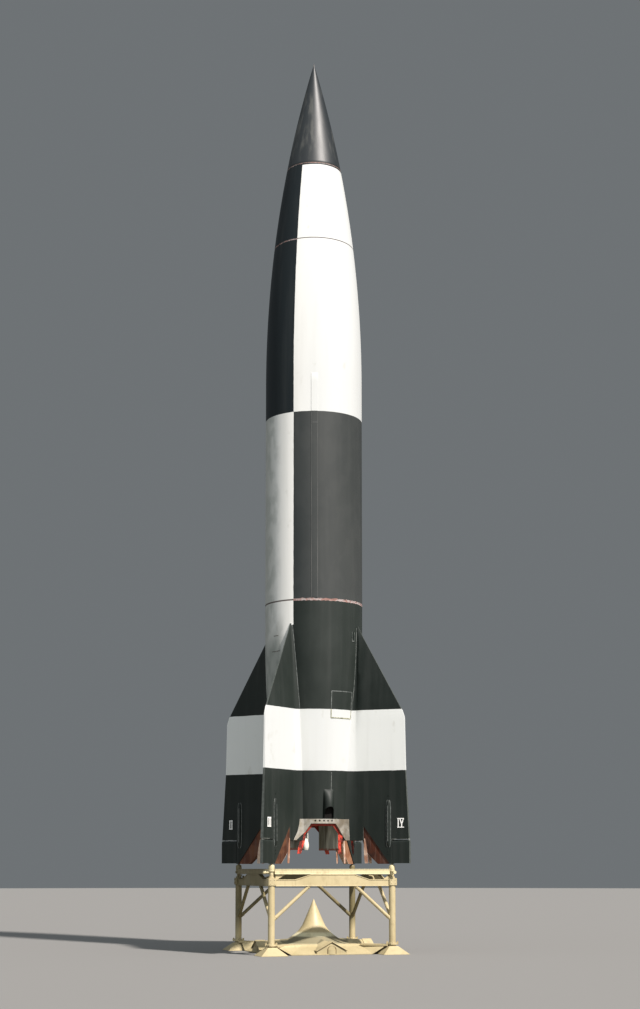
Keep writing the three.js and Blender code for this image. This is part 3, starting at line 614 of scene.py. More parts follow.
def table_at(table, key):
    """The values of a table at a key, in straight lines between its rows."""
    key = min(max(key, table[0][0]), table[-1][0])
    upper = next(i for i, row in enumerate(table) if row[0] >= key)
    if upper == 0:
        return table[0][1:]
    before, after = table[upper - 1], table[upper]
    share = (key - before[0]) / (after[0] - before[0])
    return tuple(a + (b - a) * share for a, b in zip(before[1:], after[1:]))


def tail_radius(rise):
    return table_at(TAIL_ROWS, rise)[0]


def on_tail(angle, rise, proud=0.0):
    """A point on the tail's skin at a height above the feet, or a little outside it."""
    return on_body(tail_radius(rise) + proud, angle, FIN_BASE + rise)


def turned(part, degrees):
    """A part turned about the rocket's axis."""
    c = math.cos(math.radians(degrees))
    s = math.sin(math.radians(degrees))
    return [(x * c - y * s, x * s + y * c, z) for x, y, z in part[0]], part[1]


def skirt_wall():
    """The skirt between two cut-outs, centred on the first fin's angle less 90."""
    rows = []
    for rise in evenly(SKIRT_BOTTOM, OPENING_TOP, 8):
        start = math.asin(table_at(OPENING_RIGHT, rise)[0] / tail_radius(rise)) - math.pi / 4
        end = math.asin(table_at(OPENING_LEFT, rise)[0] / tail_radius(rise)) + math.pi / 4
        rows.append((rise, evenly(start, end, 24)))
    return sheet(rows, on_tail, lambda angle, rise: on_tail(angle, rise, -TAIL_WALL))


tail_rises = [OPENING_TOP] + [row[0] for row in TAIL_ROWS[1:]]
tail_outside = []
for low, high in zip(tail_rises, tail_rises[1:]):
    tail_outside += [(tail_radius(rise), FIN_BASE + rise) for rise in evenly(low, high, 5)[:-1]]
tail_outside += [(BODY_RADIUS, TAIL_TOP - SEAM_WIDTH), (BODY_RADIUS - SEAM_DEPTH, TAIL_TOP)]
tail_roof = FIN_BASE + TAIL_ROOF
tail_inside = [(radius - TAIL_WALL, height) for radius, height in tail_outside if height < tail_roof]
tail_profile = tail_outside + [(0.0, TAIL_TOP), (0.0, tail_roof)] + tail_inside[::-1]
tail_parts = [lathe(tail_profile, closed=True)] + [turned(skirt_wall(), turn) for turn in (0, 90, 180, 270)]
make_piece("tail_skin", joined(tail_parts), body_paint, "body_paint", "tail_shell", sharp=25)


# Fins. Pressed steel skins over ribs, blended into the tail by long fillets. Below the tail the inner
# corner is cut back to a bare web in red oxide, and a blister over the rudder shaft runs up each face.
FIN_TURNS = {1: 90, 2: 180, 3: 270, 4: 0}
FIN_ROWS = (
    # height above the feet, fillet angle in degrees, then radius and half thickness at crease and tip
    (0.000, 13.0, 0.868, 0.086, 1.776, 0.027),
    (0.385, 13.0, 0.866, 0.086, 1.768, 0.026),
    (1.530, 12.5, 0.862, 0.086, 1.706, 0.018),
    (2.400, 11.0, 0.872, 0.086, 1.692, 0.011),
    (2.510, 10.6, 0.872, 0.084, 1.655, 0.010),
    (2.930, 8.6, 0.874, 0.072, 1.416, 0.009),
    (3.330, 6.4, 0.870, 0.052, 1.188, 0.008),
    (3.760, 3.6, 0.856, 0.026, 0.943, 0.006),
    (3.965, 2.0, 0.834, 0.012, 0.838, 0.004),
)
NOTCH_TOP = 0.627
NOTCH_RADIUS = 0.965
NOTCH_SHARE = 0.112
FOOT_IN = 1.430
HINGE_SIDE = 1.469
HINGE_SHARE = 0.677
RUDDER_NOTCH = 0.400
FILLET_SAG = 0.011
FILLET_CUT = 3.4
FIN_EDGE = 0.004
FIN_STEP = 0.09
RIB_RADIUS = 1.410
RIB_BOTTOM = 0.27
RIB_TOP = 1.045
RIB_HALF = 0.034
RIB_PROUD = 0.028
RIB_ENDS = 0.16
RIB_SUNK = -0.003
SEAM_RIM = 0.010
SEAM_RIM_PROUD = 0.0025
CREST_HALF = 0.005
BEAD_HALF = 0.007
FIN_BOLTS = ((1.404, 0.165), (1.404, 0.215), (1.41, 1.12))
# light grey for worn seams and blister rims, and for the painted highlight on blister crowns and fillet roots
EDGE_BLACK = (0.055, 0.064, 0.060, 1)
EDGE_WORN_AND_HIGHLIGHT = (0.125, 0.136, 0.128, 1)
BLISTER_BLACK = (0.004, 0.008, 0.006, 1)
BLISTER_FADED = (0.012, 0.016, 0.013, 1)


def narrowing(rise):
    """Degrees by which the fillet under each fin's clockwise face is narrower, above the lower skirt."""
    fillet = table_at(FIN_ROWS, rise)[0]
    return min(FILLET_CUT, fillet * 0.5) * min(1.0, max(0.0, rise - 1.2) / 1.2)


def fin_half(radius, rise, narrower=0.0):
    """Half the fin's thickness at a distance from the rocket's axis."""
    fillet, crease, crease_half, tip, tip_half = table_at(FIN_ROWS, rise)
    fillet = math.radians(fillet - narrower)
    if radius >= crease:
        return crease_half + (tip_half - crease_half) * (radius - crease) / (tip - crease)
    root = tail_radius(rise) * math.cos(fillet)
    root_half = tail_radius(rise) * math.sin(fillet)
    share = (radius - root) / (crease - root)
    sag = FILLET_SAG * min(1.0, crease_half / 0.08)
    return root_half + (crease_half - root_half) * share - sag * 4 * share * (1 - share)


def on_fin(radius, rise, side=1, proud=0.0):
    """A point on one face of the fin that stands along +X, or a little outside it."""
    return radius, side * (fin_half(radius, rise) + proud), FIN_BASE + rise


def fin_stations(rise):
    """Distances from the axis of the fin's columns: root, crease, notch, slanted edge, hinge and tip."""
    fillet, crease, _, tip, _ = table_at(FIN_ROWS, rise)
    root = tail_radius(rise) * math.cos(math.radians(fillet)) - 0.003
    if rise < NOTCH_TOP:
        notch = NOTCH_RADIUS
        slant = NOTCH_RADIUS + (FOOT_IN - NOTCH_RADIUS) * (NOTCH_TOP - rise) / NOTCH_TOP
        hinge = HINGE_SIDE
    else:
        notch = slant = crease + (tip - crease) * NOTCH_SHARE
        hinge = crease + (tip - crease) * HINGE_SHARE
    return evenly(root, crease, 8) + [notch] + evenly(slant, hinge, 9) + evenly(hinge, tip, 5)[1:]


def fin_skin():
    """The painted fin standing along +X."""
    marks = [0.0, SKIRT_BOTTOM, RUDDER_NOTCH, NOTCH_TOP] + [row[0] for row in FIN_ROWS[2:]]
    levels = [0.0]
    for low, high in zip(marks, marks[1:]):
        levels += evenly(low, high, max(1, round((high - low) / FIN_STEP)))[1:]

    def present(row, column):
        middle = (levels[row] + levels[row + 1]) / 2
        if column <= 8:
            return middle > SKIRT_BOTTOM
        if column == 9:
            return middle > NOTCH_TOP
        return column <= 18 or middle > RUDDER_NOTCH

    return sheet(
        [(rise, fin_stations(rise)) for rise in levels],
        on_fin,
        lambda radius, rise: (radius, -fin_half(radius, rise, narrowing(rise)), FIN_BASE + rise),
        present,
    )


def rib_blister(side, wider=0.0, proud=RIB_PROUD):
    """The long blister on one face of a fin, tapered at both ends, or the flat seam that frames it."""
    crown = []
    under = []
    for rise in evenly(RIB_BOTTOM, RIB_TOP, 30):
        ends = min(1.0, (rise - RIB_BOTTOM) / RIB_ENDS, (RIB_TOP - rise) / RIB_ENDS)
        swell = math.sqrt(max(0.0, 1 - (1 - ends) ** 2)) * 0.999 + 0.001
        half = RIB_HALF * (0.35 + 0.65 * swell) + wider
        turns = evenly(0, math.pi, 12)
        places = [(RIB_RADIUS + half * math.cos(t), proud * swell * math.sin(t)) for t in turns]
        crown.append([on_fin(radius, rise, side, bulge) for radius, bulge in places])
        under.append([on_fin(radius, rise, side, RIB_SUNK) for radius, _ in places])
    return shell_between(crown, under)


def rib_crest(side):
    """The line along the crown of a blister, painted light as a painted highlight."""
    levels = evenly(RIB_BOTTOM + RIB_ENDS * 0.6, RIB_TOP - RIB_ENDS * 0.6, 12)

    def strip(proud):
        return [
            [(RIB_RADIUS + across, side * (fin_half(RIB_RADIUS, rise) + proud), FIN_BASE + rise)
             for across in (-CREST_HALF, 0.0, CREST_HALF)]
            for rise in levels
        ]

    return shell_between(strip(RIB_PROUD + 0.0015), strip(RIB_PROUD - 0.004))


def hex_head(centre, out, size, proud):
    """A bolt head on a thin washer."""
    steps = ((16, 0.95, -0.001, 0.15), (6, 0.58, 0.15, 0.9), (6, 0.48, 0.9, 1.0))
    return joined([
        spun(centre, out, [(size * wide, proud * low), (size * wide, proud * high)], sides)
        for sides, wide, low, high in steps
    ])


def root_bead(side):
    """The line of sealer where one face of a fin meets the tail, painted light as a painted highlight along
    the root.
    """
    grids = ([], [])
    for rise in evenly(BAND_TOP - FIN_BASE + 0.01, 3.93, 30):
        fillet = math.radians(table_at(FIN_ROWS, rise)[0] - (narrowing(rise) if side < 0 else 0.0))
        for grid, low, crown in ((grids[0], 0.0002, 0.003), (grids[1], -0.002, -0.002)):
            grid.append([
                on_tail(side * (fillet + across / tail_radius(rise)), rise, proud)
                for across, proud in ((-BEAD_HALF, low), (0.0, crown), (BEAD_HALF, low))
            ])
    return shell_between(*grids)


# worn light on rims and seams; painted highlight on blister crowns and fillet roots
edge_wear_and_highlight = patchy_paint("edge_worn_and_highlight_black", EDGE_BLACK, EDGE_WORN_AND_HIGHLIGHT, 20, detail=4)
blister_black = patchy_paint(
    "blister_deep_black", BLISTER_BLACK, BLISTER_FADED, 12, None, gloss=0.25, detail=4
)
fin_blank = fin_skin()
fin_extras = [rib_blister(1), rib_blister(-1)]
fin_seams = [root_bead(1), root_bead(-1), rib_crest(1), rib_crest(-1)]
for side in (1, -1):
    fin_seams.append(rib_blister(side, SEAM_RIM, SEAM_RIM_PROUD))
    fin_extras += [hex_head(on_fin(*place, side), (0, side, 0), 0.013, 0.008) for place in FIN_BOLTS]
fin_extras = joined(fin_extras)
fin_seams = joined(fin_seams)
for number, turn in FIN_TURNS.items():
    skin = turned(fin_blank, turn)
    make_piece(
        f"fin_skin_{number}", skin, body_paint, "body_paint", f"fin_{number}", sharp=35, bevel=FIN_EDGE
    )
    make_piece(f"fin_fittings_{number}", turned(fin_extras, turn), blister_black, "body_paint")
    make_piece(f"fin_seams_{number}", turned(fin_seams, turn), edge_wear_and_highlight, "body_paint")

# Webs of the fins and the stays beside them, in red oxide primer gone patchy in the weather. Painted shade
# makes the webs darker fin by fin, darkest on IV and lightest on I, and the webs' turned edges have worn
# through to pale primer.
WEB_INNER = ((0.0, 1.215), (0.12, 1.085), (0.22, 1.0), (0.39, 0.945), (0.53, 0.885), (0.64, 0.866))
WEB_TOP = 0.620
WEB_THINNER = 0.014
WEB_LAP = 0.05
# each web's tones, darkened by painted shade where the web stands in shade
WEB_COLOURS = {
    # primer as it is, primer where it has faded
    1: ((0.19, 0.080, 0.040, 1), (0.26, 0.13, 0.07, 1)),
    2: ((0.07, 0.022, 0.011, 1), (0.12, 0.05, 0.027, 1)),
    3: ((0.050, 0.018, 0.009, 1), (0.11, 0.045, 0.021, 1)),
    4: ((0.018, 0.005, 0.002, 1), (0.050, 0.012, 0.004, 1)),
}
EDGE_COLOURS = ((0.44, 0.31, 0.24, 1), (0.54, 0.43, 0.35, 1))
EDGE_SECTION = (-0.004, 0.006)
STAY_COLOURS = ((0.30, 0.155, 0.10, 1), (0.56, 0.43, 0.34, 1))
RUST_RUNS = (0.11, 0.065, 0.05, 1)
STAY_RADIUS = 0.985
STAY_LEAN = 0.035
STAY_SIDE = 0.073
STAY_FOOT = 0.008
STAY_TOP = 0.416
STAY_HALF = 0.031
STAY_THICK = 0.009


def oxide_paint(name, fresh, faded):
    paint = Finish(name)
    patches = paint.clouds(6, 5).rises(0.38, 0.62)
    runs = paint.clouds(16, 3, (1, 1, 0.12)).rises(0.5, 0.7)
    colour = paint.blend(runs * 0.5, paint.blend(patches, fresh, faded), RUST_RUNS)
    return paint.coat(colour, patches * 0.2 + 0.62, paint.clouds(45, 4) * 0.0012, gloss=0.25)


def web_plate():
    rows = []
    for rise in evenly(0.0, WEB_TOP, 16):
        outer = min(fin_stations(rise)[10] + WEB_LAP, HINGE_SIDE - WEB_THINNER)
        rows.append((rise, evenly(table_at(WEB_INNER, rise)[0], outer, 5)))
    faces = [lambda radius, rise, side=side: on_fin(radius, rise, side, -WEB_THINNER) for side in (1, -1)]
    return sheet(rows, *faces)


def web_edge():
    """The turned edge of a web in its lower half."""
    inner, outer = EDGE_SECTION
    rings = []
    for rise in evenly(0.004, 0.34, 12):
        radius = table_at(WEB_INNER, rise)[0]
        half = fin_half(radius, rise) - WEB_THINNER
        corners = ((inner, -half), (outer, -half), (outer, half), (inner, half))
        rings.append([(radius + x, y, FIN_BASE + rise) for x, y in corners])
    return lofted(rings)


def stay_blade(side):
    """A leaf-shaped blade that leans out towards its foot."""
    rows = []
    for rise in evenly(STAY_FOOT, STAY_TOP, 14):
        share = rise / STAY_TOP
        half = STAY_HALF * max(0.10, math.sin(math.pi * (0.30 + 0.68 * share))) ** 0.8
        middle = STAY_RADIUS + STAY_LEAN * (1 - share)
        rows.append((rise, evenly(middle - half, middle + half, 4)))
    faces = [
        lambda radius, rise, across=side * STAY_SIDE + half: (radius, across, FIN_BASE + rise)
        for half in (-STAY_THICK / 2, STAY_THICK / 2)
    ]
    return sheet(rows, *faces)


for number, turn in FIN_TURNS.items():
    web_primer = oxide_paint(f"web_red_oxide_{number}", *WEB_COLOURS[number])
    make_piece(f"fin_web_{number}", turned(web_plate(), turn), web_primer, "body_paint", bevel=0.003)
edges = joined([turned(web_edge(), FIN_TURNS[number]) for number in (1, 3)])
make_piece("fin_web_edges", edges, oxide_paint("edge_pale_primer", *EDGE_COLOURS), "body_paint", bevel=0.002)
stays = joined([turned(stay_blade(side), turn) for turn in FIN_TURNS.values() for side in (-1, 1)])
make_piece("fin_stays", stays, oxide_paint("stay_rusty_primer", *STAY_COLOURS), "body_paint", bevel=0.002)

# Fin numbers. Plain Roman figures with bars above and below, stencilled in white on both faces.
# The paint has chipped in places.
NUMBER_RADIUS = {1: 1.59, 2: 1.59, 3: 1.59, 4: 1.624}
NUMBER_WIDTH = {1: 0.036, 2: 0.068, 3: 0.106, 4: 0.117}
NUMBER_LOW = 0.590
NUMBER_HIGH = 0.745
BAR = 0.013
STROKE = 0.018
STROKES = {
    # strokes as (foot, its share of the height, head, its share), feet and heads to the reader's right
    1: ((0.0, 0.0, 0.0, 1.0),),
    2: ((-0.021, 0.0, -0.021, 1.0), (0.021, 0.0, 0.021, 1.0)),
    3: ((-0.040, 0.0, -0.040, 1.0), (0.0, 0.0, 0.0, 1.0), (0.040, 0.0, 0.040, 1.0)),
    4: (
        (-0.041, 0.0, -0.041, 1.0),
        (0.018, 0.0, 0.018, 0.45),
        (0.016, 0.36, -0.010, 1.0),
        (0.020, 0.36, 0.046, 1.0),
    ),
}
NUMBER_WHITE = (0.80, 0.80, 0.77, 1)
NUMBER_CHIPPED = (0.12, 0.12, 0.115, 1)


def stencil(foot, low, head, high, wide, side, middle):
    """A thin upright or slanted bar of paint on one face of a fin, wide to both sides of its middle line."""
    corners = [(foot - wide, low), (foot + wide, low), (head + wide, high), (head - wide, high)]
    return lofted([
        [on_fin(middle - side * right, rise, side, proud) for right, rise in corners]
        for proud in (0.0012, -0.001)
    ])


number_parts = []
clear = NUMBER_HIGH - NUMBER_LOW - 2 * BAR
for number, turn in FIN_TURNS.items():
    bars = [(0.0, low, 0.0, low + BAR, NUMBER_WIDTH[number] / 2) for low in (NUMBER_LOW, NUMBER_HIGH - BAR)]
    for foot, foot_share, head, head_share in STROKES[number]:
        low = NUMBER_LOW + BAR + clear * foot_share
        bars.append((foot, low, head, NUMBER_LOW + BAR + clear * head_share, STROKE / 2))
    for side in (1, -1):
        number_parts += [turned(stencil(*bar, side, NUMBER_RADIUS[number]), turn) for bar in bars]
number_paint = patchy_paint(
    "stencil_white", NUMBER_WHITE, NUMBER_CHIPPED, 60, (0.60, 0.66), relief=-0.0002, detail=4
)
make_piece("fin_numbers", joined(number_parts), number_paint, "body_paint")


# Air rudders. Small steel vanes that fill the fins' outer lower corners and swing about a shaft near
# their upper edge. The paint has rubbed through to a light line along that edge.
RUDDER_ROOT = 1.475
RUDDER_TIP = 1.775
RUDDER_TOP = 0.392
RUDDER_BOTTOM = 0.010
RUDDER_AXIS = 0.345


def rudder_blade():
    _, crease, crease_half, tip, tip_half = FIN_ROWS[0][1:]

    def face(side):
        def point(radius, row):
            rise, share = row
            half = crease_half + (tip_half - crease_half) * (radius - crease) / (tip - crease)
            return radius, side * half * share, FIN_BASE + rise
        return point

    rows = [(rise, 1.0) for rise in evenly(RUDDER_BOTTOM, RUDDER_AXIS, 8)]
    for turn in evenly(0.0, math.pi / 2, 6)[1:]:
        rows.append((RUDDER_AXIS + (RUDDER_TOP - RUDDER_AXIS) * math.sin(turn), max(0.06, math.cos(turn))))
    return sheet([(row, evenly(RUDDER_ROOT, RUDDER_TIP, 10)) for row in rows], face(1), face(-1))


for number, turn in FIN_TURNS.items():
    make_piece(
        f"rudder_skin_{number}",
        turned(rudder_blade(), turn),
        body_paint,
        "fin_paint",
        f"rudder_{number}",
        body=f"air_rudder_{number}",
        sharp=35,
        bevel=0.003,
    )


# Arch frames. Sheet frames in dull silver round the skirt's cut-outs, bent over the fillets on to the
# fins, with a row of five holes above. Red flanges line the cut-out, and two red tongues hang below.
FRAME_LEFT = ((0.386, -0.552), (0.520, -0.470), (0.640, -0.436), (0.734, -0.425))
FRAME_RIGHT = ((0.386, 0.436), (0.734, 0.425))
FRAME_BOTTOM = 0.386
FRAME_TOP = 0.734
FRAME_THICK = 0.008
FLANGE_DEPTH = 0.048
FLANGE_THICK = 0.009
HOLE_MIDDLE = -0.034
HOLE_PITCH = 0.0705
HOLE_RISE = 0.706
HOLE_RADIUS = 0.0145
LINER_DEPTH = 0.030
LINER_TALL = 0.004
RED_TALL = 0.040
TONGUES = (
    # distance from the axis, then the outline as (across, height above the feet)
    (0.552, ((-0.312, 0.520), (-0.320, 0.390), (-0.350, 0.291), (-0.391, 0.165),
             (-0.456, 0.165), (-0.435, 0.291), (-0.406, 0.389), (-0.390, 0.468))),
    (0.566, ((0.245, 0.566), (0.319, 0.470), (0.319, 0.360), (0.290, 0.352), (0.290, 0.165), (0.245, 0.165))),
)
SILVER = (0.37, 0.355, 0.315, 1)
SILVER_DULL = (0.27, 0.25, 0.20, 1)
SILVER_STREAKED = (0.17, 0.145, 0.11, 1)
SILVER_BROWNED = (0.135, 0.110, 0.075, 1)
FLANGE_REDS = ((0.20, 0.016, 0.011, 1), (0.28, 0.040, 0.022, 1))
TONGUE_REDS = ((0.42, 0.022, 0.014, 1), (0.50, 0.085, 0.045, 1))
TONGUE_SOOT = (0.040, 0.010, 0.008, 1)
SHADOW_BLACKS = ((0.003, 0.003, 0.003, 1), (0.012, 0.011, 0.010, 1))


def quarter_out(across, rise):
    """How far the skirt's skin stands out from the axis at an offset across one side, fins included."""
    fillet = table_at(FIN_ROWS, rise)[0]
    radius = tail_radius(rise)
    width = abs(across)
    if width <= radius * math.sin(math.radians(45 - fillet)):
        return math.sqrt(radius ** 2 - width ** 2)
    low = radius * math.cos(math.radians(fillet))
    high = 1.7
    for _ in range(24):
        middle = (low + high) / 2
        if (middle - fin_half(middle, rise)) * math.sqrt(0.5) < width:
            low = middle
        else:
            high = middle
    return (low + fin_half(low, rise)) * math.sqrt(0.5)


def on_side(across, rise, proud=0.0):
    """A point on the skin of the side that looks along +X, or a little outside it."""
    return quarter_out(across, rise) + proud, across, FIN_BASE + rise


def frame_plate():
    rows = []
    for rise in evenly(FRAME_BOTTOM, OPENING_TOP, 12) + evenly(OPENING_TOP, FRAME_TOP, 3)[1:]:
        edges = [table_at(edge, rise)[0] for edge in (FRAME_LEFT, OPENING_LEFT, OPENING_RIGHT, FRAME_RIGHT)]
        places = evenly(edges[0], edges[1], 12) + evenly(edges[1], edges[2], 16)[1:]
        rows.append((rise, places + evenly(edges[2], edges[3], 12)[1:]))
    return sheet(
        rows,
        lambda across, rise: on_side(across, rise, FRAME_THICK),
        lambda across, rise: on_side(across, rise, -0.001),
        lambda row, column: row >= 12 or not 12 <= column < 28,
    )


def along_opening(inset):
    """Points along the cut-out's edge as (across, height), moved in by inset."""
    left = [(across + inset, rise) for rise, across in OPENING_LEFT]
    right = [(across - inset, rise) for rise, across in OPENING_RIGHT][::-1]
    corners = [(a, min(rise, OPENING_TOP - inset)) for a, rise in left + right]
    path = []
    for (a0, z0), (a1, z1) in zip(corners, corners[1:]):
        path += [(a0 + (a1 - a0) * i / 6, z0 + (z1 - z0) * i / 6) for i in range(6)]
    return path + [corners[-1]]


def lining(tall, near, far):
    """A strip round the cut-out's edge, between two depths in from the skin."""
    return shell_between(*[
        [[on_side(across, rise, -depth) for depth in (near, far)] for across, rise in along_opening(inset)]
        for inset in (0.0006, tall)
    ])


def hole_liner(middle):
    """A dark disc of painted shade at the bottom of a punched hole, bent with the plate."""
    def face(proud):
        def point(turn, ring):
            across = middle + HOLE_RADIUS * ring * math.cos(turn)
            return on_side(across, HOLE_RISE + HOLE_RADIUS * ring * math.sin(turn), FRAME_THICK + proud)
        return point

    rows = [(ring, evenly(0.0, math.tau, 16)) for ring in (1.0, 0.5, 0.02)]
    return sheet(rows, face(0.0012), face(-0.001))


def silver_paint():
    paint = Finish("frame_dull_silver")
    across = paint.along()[0]
    dirt = paint.clouds(11, 5).rises(0.42, 0.68)
    runs = paint.clouds(22, 3, (1, 1, 0.2)).rises(0.46, 0.68)
    brown = paint.clouds(8, 5, (1, 1, 0.5)).rises(0.34, 0.60) * (across.rises(0.48, 0.64) * 0.6 + 0.2)
    colour = paint.blend(runs * 0.35, paint.blend(dirt, SILVER, SILVER_DULL), SILVER_STREAKED)
    colour = paint.blend(brown, colour, SILVER_BROWNED)
    relief = paint.clouds(9, 3) * 0.010 + paint.clouds(40, 3) * 0.0012
    return paint.coat(colour, dirt * 0.2 + 0.45, relief, metal=0.2)


def tongue_paint():
    paint = Finish("tongue_sooty_red")
    worn = paint.clouds(30, 4).rises(0.40, 0.62)
    soot = paint.clouds(15, 5, (1, 1, 0.6)).rises(0.45, 0.53)
    colour = paint.blend(soot * 0.85, paint.blend(worn, *TONGUE_REDS), TONGUE_SOOT)
    return paint.coat(colour, worn * 0.1 + 0.55, soot * -0.001, gloss=0.25)


silver = silver_paint()
dark_red = oxide_paint("flange_dark_red", *FLANGE_REDS)
bright_red = tongue_paint()
shadow_black = patchy_paint("shadow_soot_black", *SHADOW_BLACKS, 30, None, dull=0.9, relief=0.0005, gloss=0.1)
tongue_blank = joined([
    lofted([
        [(out, across, FIN_BASE + rise) for across, rise in outline] for out in (near, near + FLANGE_THICK)
    ])
    for near, outline in TONGUES
])
frame_blank = frame_plate()
flange_blank = lining(RED_TALL, LINER_DEPTH, FLANGE_DEPTH)
liner_blank = lining(LINER_TALL, 0.0, LINER_DEPTH)
hole_blank = joined([hole_liner(HOLE_MIDDLE + HOLE_PITCH * i) for i in (-2, -1, 0, 1, 2)])
for number, turn in SIDE_TURNS.items():
    plate = turned(frame_blank, turn)
    make_piece(
        f"arch_plate_{number}", plate, silver, "arch_silver", f"arch_frame_{number}", sharp=40, bevel=0.0015
    )
    make_piece(f"arch_liner_{number}", turned(liner_blank, turn), silver, "arch_silver")
    make_piece(f"arch_flange_{number}", turned(flange_blank, turn), dark_red, "arch_silver", bevel=0.0015)
    make_piece(f"arch_tongues_{number}", turned(tongue_blank, turn), bright_red, "arch_silver", bevel=0.0015)
    make_piece(f"arch_holes_{number}", turned(hole_blank, turn), shadow_black, "arch_silver")


# Exhaust outlets. Half-round hoods welded over the turbine's two exhaust pipes, with an arched mouth
# in front. A dark sheet of painted shade fills the mouth.
OUTLET_TURNS = {1: -41.5, 2: 138.5}
OUTLET_RADIUS = 0.090
OUTLET_PROUD = 0.103
OUTLET_SUNK = 0.012
OUTLET_WALL = 0.008
OUTLET_TOP = 1.220
OUTLET_LIP = 0.950
OUTLET_BOTTOM = 0.752
MOUTH_HALF = OUTLET_RADIUS - 0.009
MOUTH_CREST = OUTLET_LIP - 0.014
MOUTH_CORNER = 1.121
MOUTH_SHADE_TURN = math.radians(7.0)


def hood_point(angle, share, inset=0.0):
    """A point of the hood: angle runs round it and share runs from its mouth or foot to its top."""
    across = (OUTLET_RADIUS - inset) * math.sin(angle)
    if abs(across) < MOUTH_HALF:
        low = MOUTH_CREST - MOUTH_HALF + math.sqrt(MOUTH_HALF ** 2 - across ** 2)
    else:
        low = OUTLET_BOTTOM
    rise = low + (OUTLET_TOP - low) * share
    closing = min(1.0, (OUTLET_TOP - rise) / (OUTLET_TOP - OUTLET_LIP))
    proud = OUTLET_PROUD * math.sin(math.pi / 2 * closing) ** 0.8 - inset
    return tail_radius(rise) - OUTLET_SUNK + (OUTLET_SUNK + proud) * math.cos(angle), across, FIN_BASE + rise


def bent_plate(start, end, low, high, proud, sink=-0.002, steps=(16, 10)):
    """A plate rolled to the tail's skin between two angles and two heights above the feet."""
    rows = [(rise, evenly(start, end, steps[0])) for rise in evenly(low, high, steps[1])]
    return sheet(
        rows, lambda angle, rise: on_tail(angle, rise, proud), lambda angle, rise: on_tail(angle, rise, sink)
    )


hood_angles = sorted(evenly(-math.pi / 2, math.pi / 2, 28) + [-MOUTH_CORNER, MOUTH_CORNER])
hood_rows = [(share, hood_angles) for share in evenly(0.0, 1.0, 18)]
hood = sheet(hood_rows, hood_point, lambda angle, share: hood_point(angle, share, OUTLET_WALL))
# painted shade: a dark sheet on the skin inside each hood's mouth
mouth_shade_wall = bent_plate(-MOUTH_SHADE_TURN, MOUTH_SHADE_TURN, OUTLET_BOTTOM, OUTLET_LIP + 0.02, 0.003, -0.001, (8, 6))
for number, turn in OUTLET_TURNS.items():
    node = f"exhaust_outlet_{number}"
    make_piece(f"exhaust_hood_{number}", turned(hood, turn), body_paint, "fin_paint", node, sharp=45)
    make_piece(f"exhaust_mouth_shade_{number}", turned(mouth_shade_wall, turn), shadow_black, "fin_paint")


# Tail hatch and the small cover by fin IV. Steel plates rolled to the tail, the hatch with round-headed
# screws. The filler round them has cracked to a light line on black paint and an olive one on white.
HATCH_FROM = math.radians(-40.4)
HATCH_TO = math.radians(-9.6)
HATCH_LOW = 2.400
HATCH_HIGH = 2.840
HATCH_PROUD = 0.0045
HATCH_RIM = 0.015
HATCH_SCREW_IN = 0.030
HATCH_SCREW_TURN = 0.035
COVER_PLATE_FROM = math.radians(-11.6)
COVER_PLATE_TO = math.radians(-6.6)
COVER_PLATE_LOW = 3.690
COVER_PLATE_HIGH = 3.855
COVER_PLATE_RIM = 0.009
COVER_PLATE_PROUD = 0.005
COVER_RIM_PROUD = 0.007
FILLER_ON_BLACK = ((0.055, 0.064, 0.060, 1), (0.110, 0.122, 0.114, 1))
FILLER_ON_WHITE = ((0.135, 0.140, 0.075, 1), (0.34, 0.335, 0.235, 1))


def filler_paint():
    paint = Finish("hatch_cracked_filler")
    on_white = paint.along()[2].falls(BAND_TOP - 0.002, BAND_TOP + 0.002)
    patches = paint.clouds(24, 4).rises(0.42, 0.6)
    colours = [paint.blend(patches, *pair) for pair in (FILLER_ON_BLACK, FILLER_ON_WHITE)]
    return paint.coat(paint.blend(on_white, *colours), patches * 0.2 + 0.5, patches * 0.0006)


filler = filler_paint()
hatch_parts = [bent_plate(HATCH_FROM, HATCH_TO, HATCH_LOW, HATCH_HIGH, HATCH_PROUD)]
for rise in evenly(HATCH_LOW + HATCH_SCREW_IN, HATCH_HIGH - HATCH_SCREW_IN, 5):
    for angle in (HATCH_FROM + HATCH_SCREW_TURN, HATCH_TO - HATCH_SCREW_TURN):
        hatch_parts.append(dome_head(on_tail(angle, rise, HATCH_PROUD), 0.007, 0.0015))
make_piece("hatch_plate", joined(hatch_parts), body_paint, "body_paint", "tail_hatch", bevel=0.001)
rim = HATCH_RIM / 2
rim_turn = rim / tail_radius(HATCH_LOW)
hatch_rims = [
    bent_plate(angle - rim_turn, angle + rim_turn, HATCH_LOW, HATCH_HIGH, HATCH_PROUD + 0.002)
    for angle in (HATCH_FROM, HATCH_TO)
]
hatch_rims += [
    bent_plate(HATCH_FROM, HATCH_TO, rise - rim, rise + rim, HATCH_PROUD + 0.002)
    for rise in (HATCH_LOW, HATCH_HIGH)
]
make_piece("hatch_filler", joined(hatch_rims), filler, "body_paint", bevel=0.001)
small_cover = bent_plate(
    COVER_PLATE_FROM, COVER_PLATE_TO, COVER_PLATE_LOW, COVER_PLATE_HIGH, COVER_PLATE_PROUD
)
make_piece("tail_cover", small_cover, blister_black, "body_paint", bevel=0.001)
rim_turn = COVER_PLATE_RIM / BODY_RADIUS
